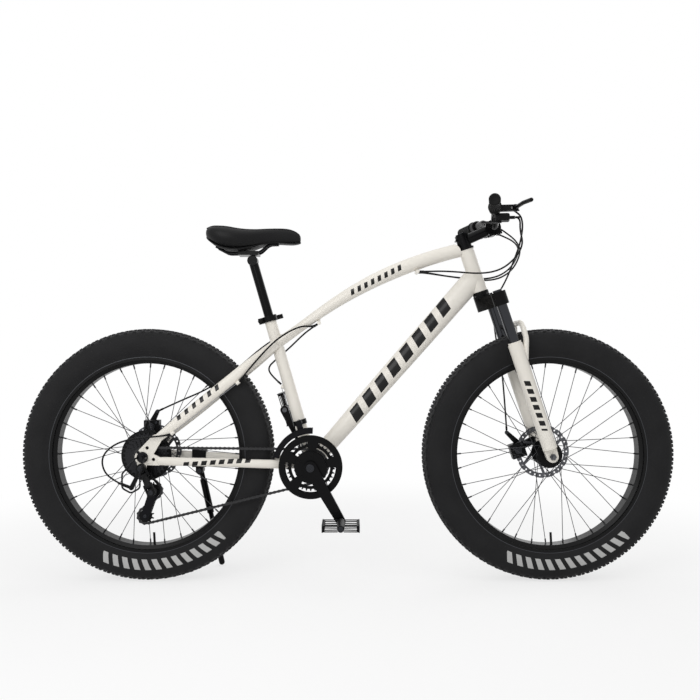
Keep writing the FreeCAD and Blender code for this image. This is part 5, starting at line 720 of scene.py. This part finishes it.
grip_rubber = moulded("soft black grip rubber", "0E0E0E", "151515", roughness=0.62, grain_size=0.7 * mm,
                      depth=0.12 * mm)
for hand, side in (("right", -1), ("left", 1)):
    mirror = Vector((1, side, 1))
    grip = build_grip(hand + "_grip", Vector(bar_end) * mirror * mm, (Vector(bar_way) * mirror).normalized())
    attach(grip, "steering")
    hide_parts("grips")


# Cables: twisted wire in black sheathed housing, ended by short ferrules in the
# levers, the frame stops and the brake arms. Two bare runs of wire show at the back.
housing_radius, wire_radius = 2.5, 0.8
ferrule_radius, ferrule_long, ferrule_edge, ferrule_segments = 3.1, 13.0, 0.5, 20
path_steps, path_sides = 12, 4
bar_cables = {
    "right_shift_cable": ((458.8, -180.3, 1037.4), (472.6, -182.6, 1037.4), (478, -150, 1006),
                          (493, -122, 972), (478, -96, 936), (440, -72, 903), (385, -50, 893),
                          (290, -34, 903), (222.8, -20, 903), (208.8, -20, 903)),
    "left_shift_cable": ((458.8, 180.3, 1037.4), (472.6, 182.6, 1037.4), (480, 172, 1034), (519, 136, 1008),
                         (526, 104, 974), (490, 76, 914), (425, 52, 884), (310, 20, 889), (222.8, 0, 903),
                         (208.8, 0, 903)),
    "rear_brake_cable": ((448.6, 165.2, 1061.4), (460, 157.1, 1061.4), (492, 190, 1050), (526, 146, 1012),
                         (533, 112, 972), (496, 84, 908), (428, 60, 878), (300, 36, 893), (222.8, 20, 903),
                         (208.8, 20, 903)),
}
fork_cable = ((448.6, -165.2, 1061.4), (460, -157.1, 1061.4), (487, -150, 1040), (492, -100, 985),
              (480, -30, 925), (476, 50, 885), (457, 110, 838), (446, 114, 775), (455, 100, 690),
              (472, 92, 610), (482.1, 81.9, 428.1))
frame_cables = {
    "rear_shift_stay_cable": ((-90.7, -10, 749.6), (-102.1, -10, 741.5), (-140, -28, 744), (-199, -33, 712),
                              (-240, -50, 672), (-290, -74, 612), (-312.5, -69, 582.7)),
    "rear_shift_loop_cable": ((-504.5, -92, 433.3), (-522, -103, 429), (-604, -112, 424), (-660, -114, 408),
                              (-697, -114, 372), (-690, -112, 326), (-652.2, -107.1, 297.3),
                              (-639.3, -106, 292.1)),
    "rear_brake_stay_cable": ((-90.7, 10, 749.6), (-102.1, 10, 741.5), (-140, 28, 744), (-200, 38, 718),
                              (-262, 62, 681), (-340, 86, 614), (-425, 92, 555), (-520, 96, 515),
                              (-577.3, 93.7, 488.2)),
    "middle_shift_cable": ((-90.7, 0, 749.6), (-102.1, 0, 741.5), (-130, 6, 722), (-176, 24, 678),
                           (-214, 27, 646), (-240, 16, 620), (-224, 3, 594), (-197.5, 0, 571.8)),
}
bare_wires = {"stay_wire": ((-317, -69, 579), (-408.5, -80.5, 508), (-500, -92, 437)),
              "seat_tube_wire": ((-197.5, 0, 564), (-180.6, 0, 512.8), (-163.7, 0, 461.5))}


def smooth_tube(name, route, radius):
    """Mesh of a round tube along the smooth line that the route's points steer."""
    path = bpy.data.curves.new(name + "_path", "CURVE")
    path.dimensions = "3D"
    path.resolution_u = path_steps
    path.bevel_depth = radius * mm
    path.bevel_resolution = path_sides
    path.use_fill_caps = True
    spline = path.splines.new("NURBS")
    spline.points.add(len(route) - 1)
    for point, place in zip(spline.points, route):
        point.co = (*(Vector(place) * mm), 1.0)
    spline.order_u = 3
    spline.use_endpoint_u = True
    carrier = bpy.data.objects.new(name + "_path", path)
    mesh = bpy.data.meshes.new_from_object(carrier)
    bpy.data.objects.remove(carrier)
    return mesh


def build_cable(name, route, radius):
    mesh = smooth_tube(name, route, radius)
    bm = bmesh.new()
    bm.from_mesh(mesh)
    bpy.data.meshes.remove(mesh)
    for face in bm.faces:
        face.smooth = True
        face.material_index = 0
    if radius == housing_radius:
        for near, after in ((route[0], route[1]), (route[-1], route[-2])):
            along = (Vector(after) - Vector(near)).normalized()
            middle = Vector(near) * mm + along * (ferrule_long / 2) * mm
            turn = along.to_track_quat("Z", "Y").to_matrix().to_4x4()
            known = set(bm.faces)
            bmesh.ops.create_cone(bm, cap_ends=True, segments=ferrule_segments, radius1=ferrule_radius * mm,
                                  radius2=ferrule_radius * mm, depth=ferrule_long * mm,
                                  matrix=Matrix.Translation(middle) @ turn)
            caps = [face for face in bm.faces if face not in known and len(face.verts) > 4]
            ends = [edge for face in caps for edge in face.edges]
            bmesh.ops.bevel(bm, geom=ends, offset=ferrule_edge * mm, affect="EDGES", segments=2,
                            profile=0.5, material=-1)
            for face in bm.faces:
                if face not in known:
                    face.material_index = 1
    cable = object_from(name, bm, cable_black if radius == housing_radius else wire_steel, ferrule_black)
    return cable


cable_black = moulded("black cable sheath", "0F0F10", "161617", roughness=0.34, grain_size=1.2 * mm,
                      depth=0.06 * mm)
ferrule_black = moulded("black moulded ferrule", "0B0B0C", "121213", roughness=0.45, grain_size=0.8 * mm,
                        depth=0.05 * mm)
wire_steel = metal("twisted steel wire", "8A8B8E", smooth=0.25, dull=0.45, mark_size=1 * mm)
for name, route in bar_cables.items():
    cable = build_cable(name, route, housing_radius)
    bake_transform(cable)
    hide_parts("control_cables")
cable = build_cable("front_brake_cable", fork_cable, housing_radius)
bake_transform(cable)
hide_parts("control_cables")
for routes, radius in ((frame_cables, housing_radius), (bare_wires, wire_radius)):
    for name, route in routes.items():
        cable = build_cable(name, route, radius)
        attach(cable, "frame")
        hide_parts("frame_cables")


# Saddle: foam moulded on a nylon shell under stretched black vinyl, sewn along both
# shoulders with a corded seam. Its steel rails are clamped on the post. A row of the
# pad has its place along the bicycle, half width, top and bottom.
saddle_rows = ((-413, 44, 1022, 1004), (-411, 54, 1029, 999), (-397, 71, 1036, 988), (-375, 80, 1037, 976),
               (-352, 82.5, 1035.5, 969.5), (-331, 81, 1031, 969), (-310, 74.5, 1028, 969.5),
               (-287, 62, 1027, 974), (-265, 50, 1027.5, 980), (-245, 40, 1029.5, 985),
               (-225, 32, 1030.5, 988.5), (-202, 27, 1031, 988.5), (-180, 24, 1030.5, 988.5),
               (-164, 21, 1026.5, 989), (-150, 17.5, 1020, 989.5), (-143, 13, 1012.5, 991.5),
               (-140, 9, 1007, 994))
saddle_segments, cap_inset = 40, 3.0
side_share, crown_power, side_power = 0.4, 0.72, 0.62
base_draw, base_spread, base_power = 0.12, 1.5, 0.8
seam_turn, seam_radius = math.radians(52), 1.3


def saddle_edge(row, turn):
    """Point of the pad's section at one row: a crowned top over rounded sides and a flat base."""
    x, half, top, bottom = row
    reach, lift = math.cos(turn), math.sin(turn)
    middle = bottom + side_share * (top - bottom)
    y = math.copysign(abs(reach) ** side_power, reach) * half
    if lift > 0:
        z = middle + (top - middle) * lift ** crown_power
    else:
        y *= 1 - base_draw * abs(lift)
        z = middle - (middle - bottom) * min(1.0, abs(lift) * base_spread) ** base_power
    return Vector((x, y, z)) * mm


def build_saddle(name):
    bm = bmesh.new()
    loops = []
    for row in saddle_rows:
        ring = bmesh.ops.create_circle(bm, segments=saddle_segments, radius=1.0)["verts"]
        for vert in ring:
            vert.co = saddle_edge(row, math.atan2(vert.co.y, vert.co.x))
        loops.append(list({edge for vert in ring for edge in vert.link_edges}))
    for before, after in zip(loops, loops[1:]):
        bmesh.ops.bridge_loops(bm, edges=before + after)
    for loop in (loops[0], loops[-1]):
        cap = bmesh.ops.edgeloop_fill(bm, edges=loop)["faces"]
        bmesh.ops.inset_region(bm, faces=cap, thickness=cap_inset * mm, use_even_offset=True)
    bmesh.ops.recalc_face_normals(bm, faces=bm.faces[:])
    for face in bm.faces:
        face.smooth = True
    pad = object_from(name, bm, black_vinyl)
    pad.modifiers.new("stretched skin", "SUBSURF").render_levels = 1
    return pad


vinyl_gloss, pebble_size, pebble_spread = 0.15, 2.2 * mm, 0.9
pebble_strength, pebble_depth = 0.35, 0.25 * mm
rub_size, unrubbed_rough, rubbed_rough = 70 * mm, 0.5, 0.36


def vinyl(name, colour, sheen_colour):
    """Embossed vinyl: pebbled like leather, smoother and paler where it is rubbed."""
    material, tree, shader, place = new_finish(name, colour, Specular_IOR_Level=vinyl_gloss)
    pebbles = add_node(tree, "TexVoronoi", {"Vector": place, "Scale": 1 / pebble_size,
                                            "Randomness": pebble_spread})
    rub = add_node(tree, "TexNoise", {"Vector": place, "Scale": 1 / rub_size, "Detail": 2.0})
    tint = add_node(tree, "Mix", {0: rub.outputs[0], 6: linear(colour), 7: linear(sheen_colour)},
                    data_type="RGBA").outputs[2]
    tree.links.new(tint, shader.inputs["Base Color"])
    rough = add_node(tree, "MapRange", {"Value": rub.outputs[0], "To Min": unrubbed_rough,
                                        "To Max": rubbed_rough})
    tree.links.new(rough.outputs[0], shader.inputs["Roughness"])
    bump = add_node(tree, "Bump", {"Height": pebbles.outputs["Distance"],
                                   "Strength": pebble_strength, "Distance": pebble_depth})
    tree.links.new(bump.outputs[0], shader.inputs["Normal"])
    return material


black_vinyl = vinyl("embossed black vinyl", "0E0E0F", "181819")
saddle = build_saddle("saddle_cover_on_foam")
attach(saddle, "seat")
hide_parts("saddle_pad")
for side, turn in (("right", math.pi - seam_turn), ("left", seam_turn)):
    seam_mesh = smooth_tube(side + "_saddle_seam", [saddle_edge(row, turn) / mm for row in saddle_rows[1:-1]],
                            seam_radius)
    seam = bpy.data.objects.new(side + "_saddle_seam", seam_mesh)
    seam.data.materials.append(black_vinyl)
    scene.collection.objects.link(seam)
    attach(seam, "seat")
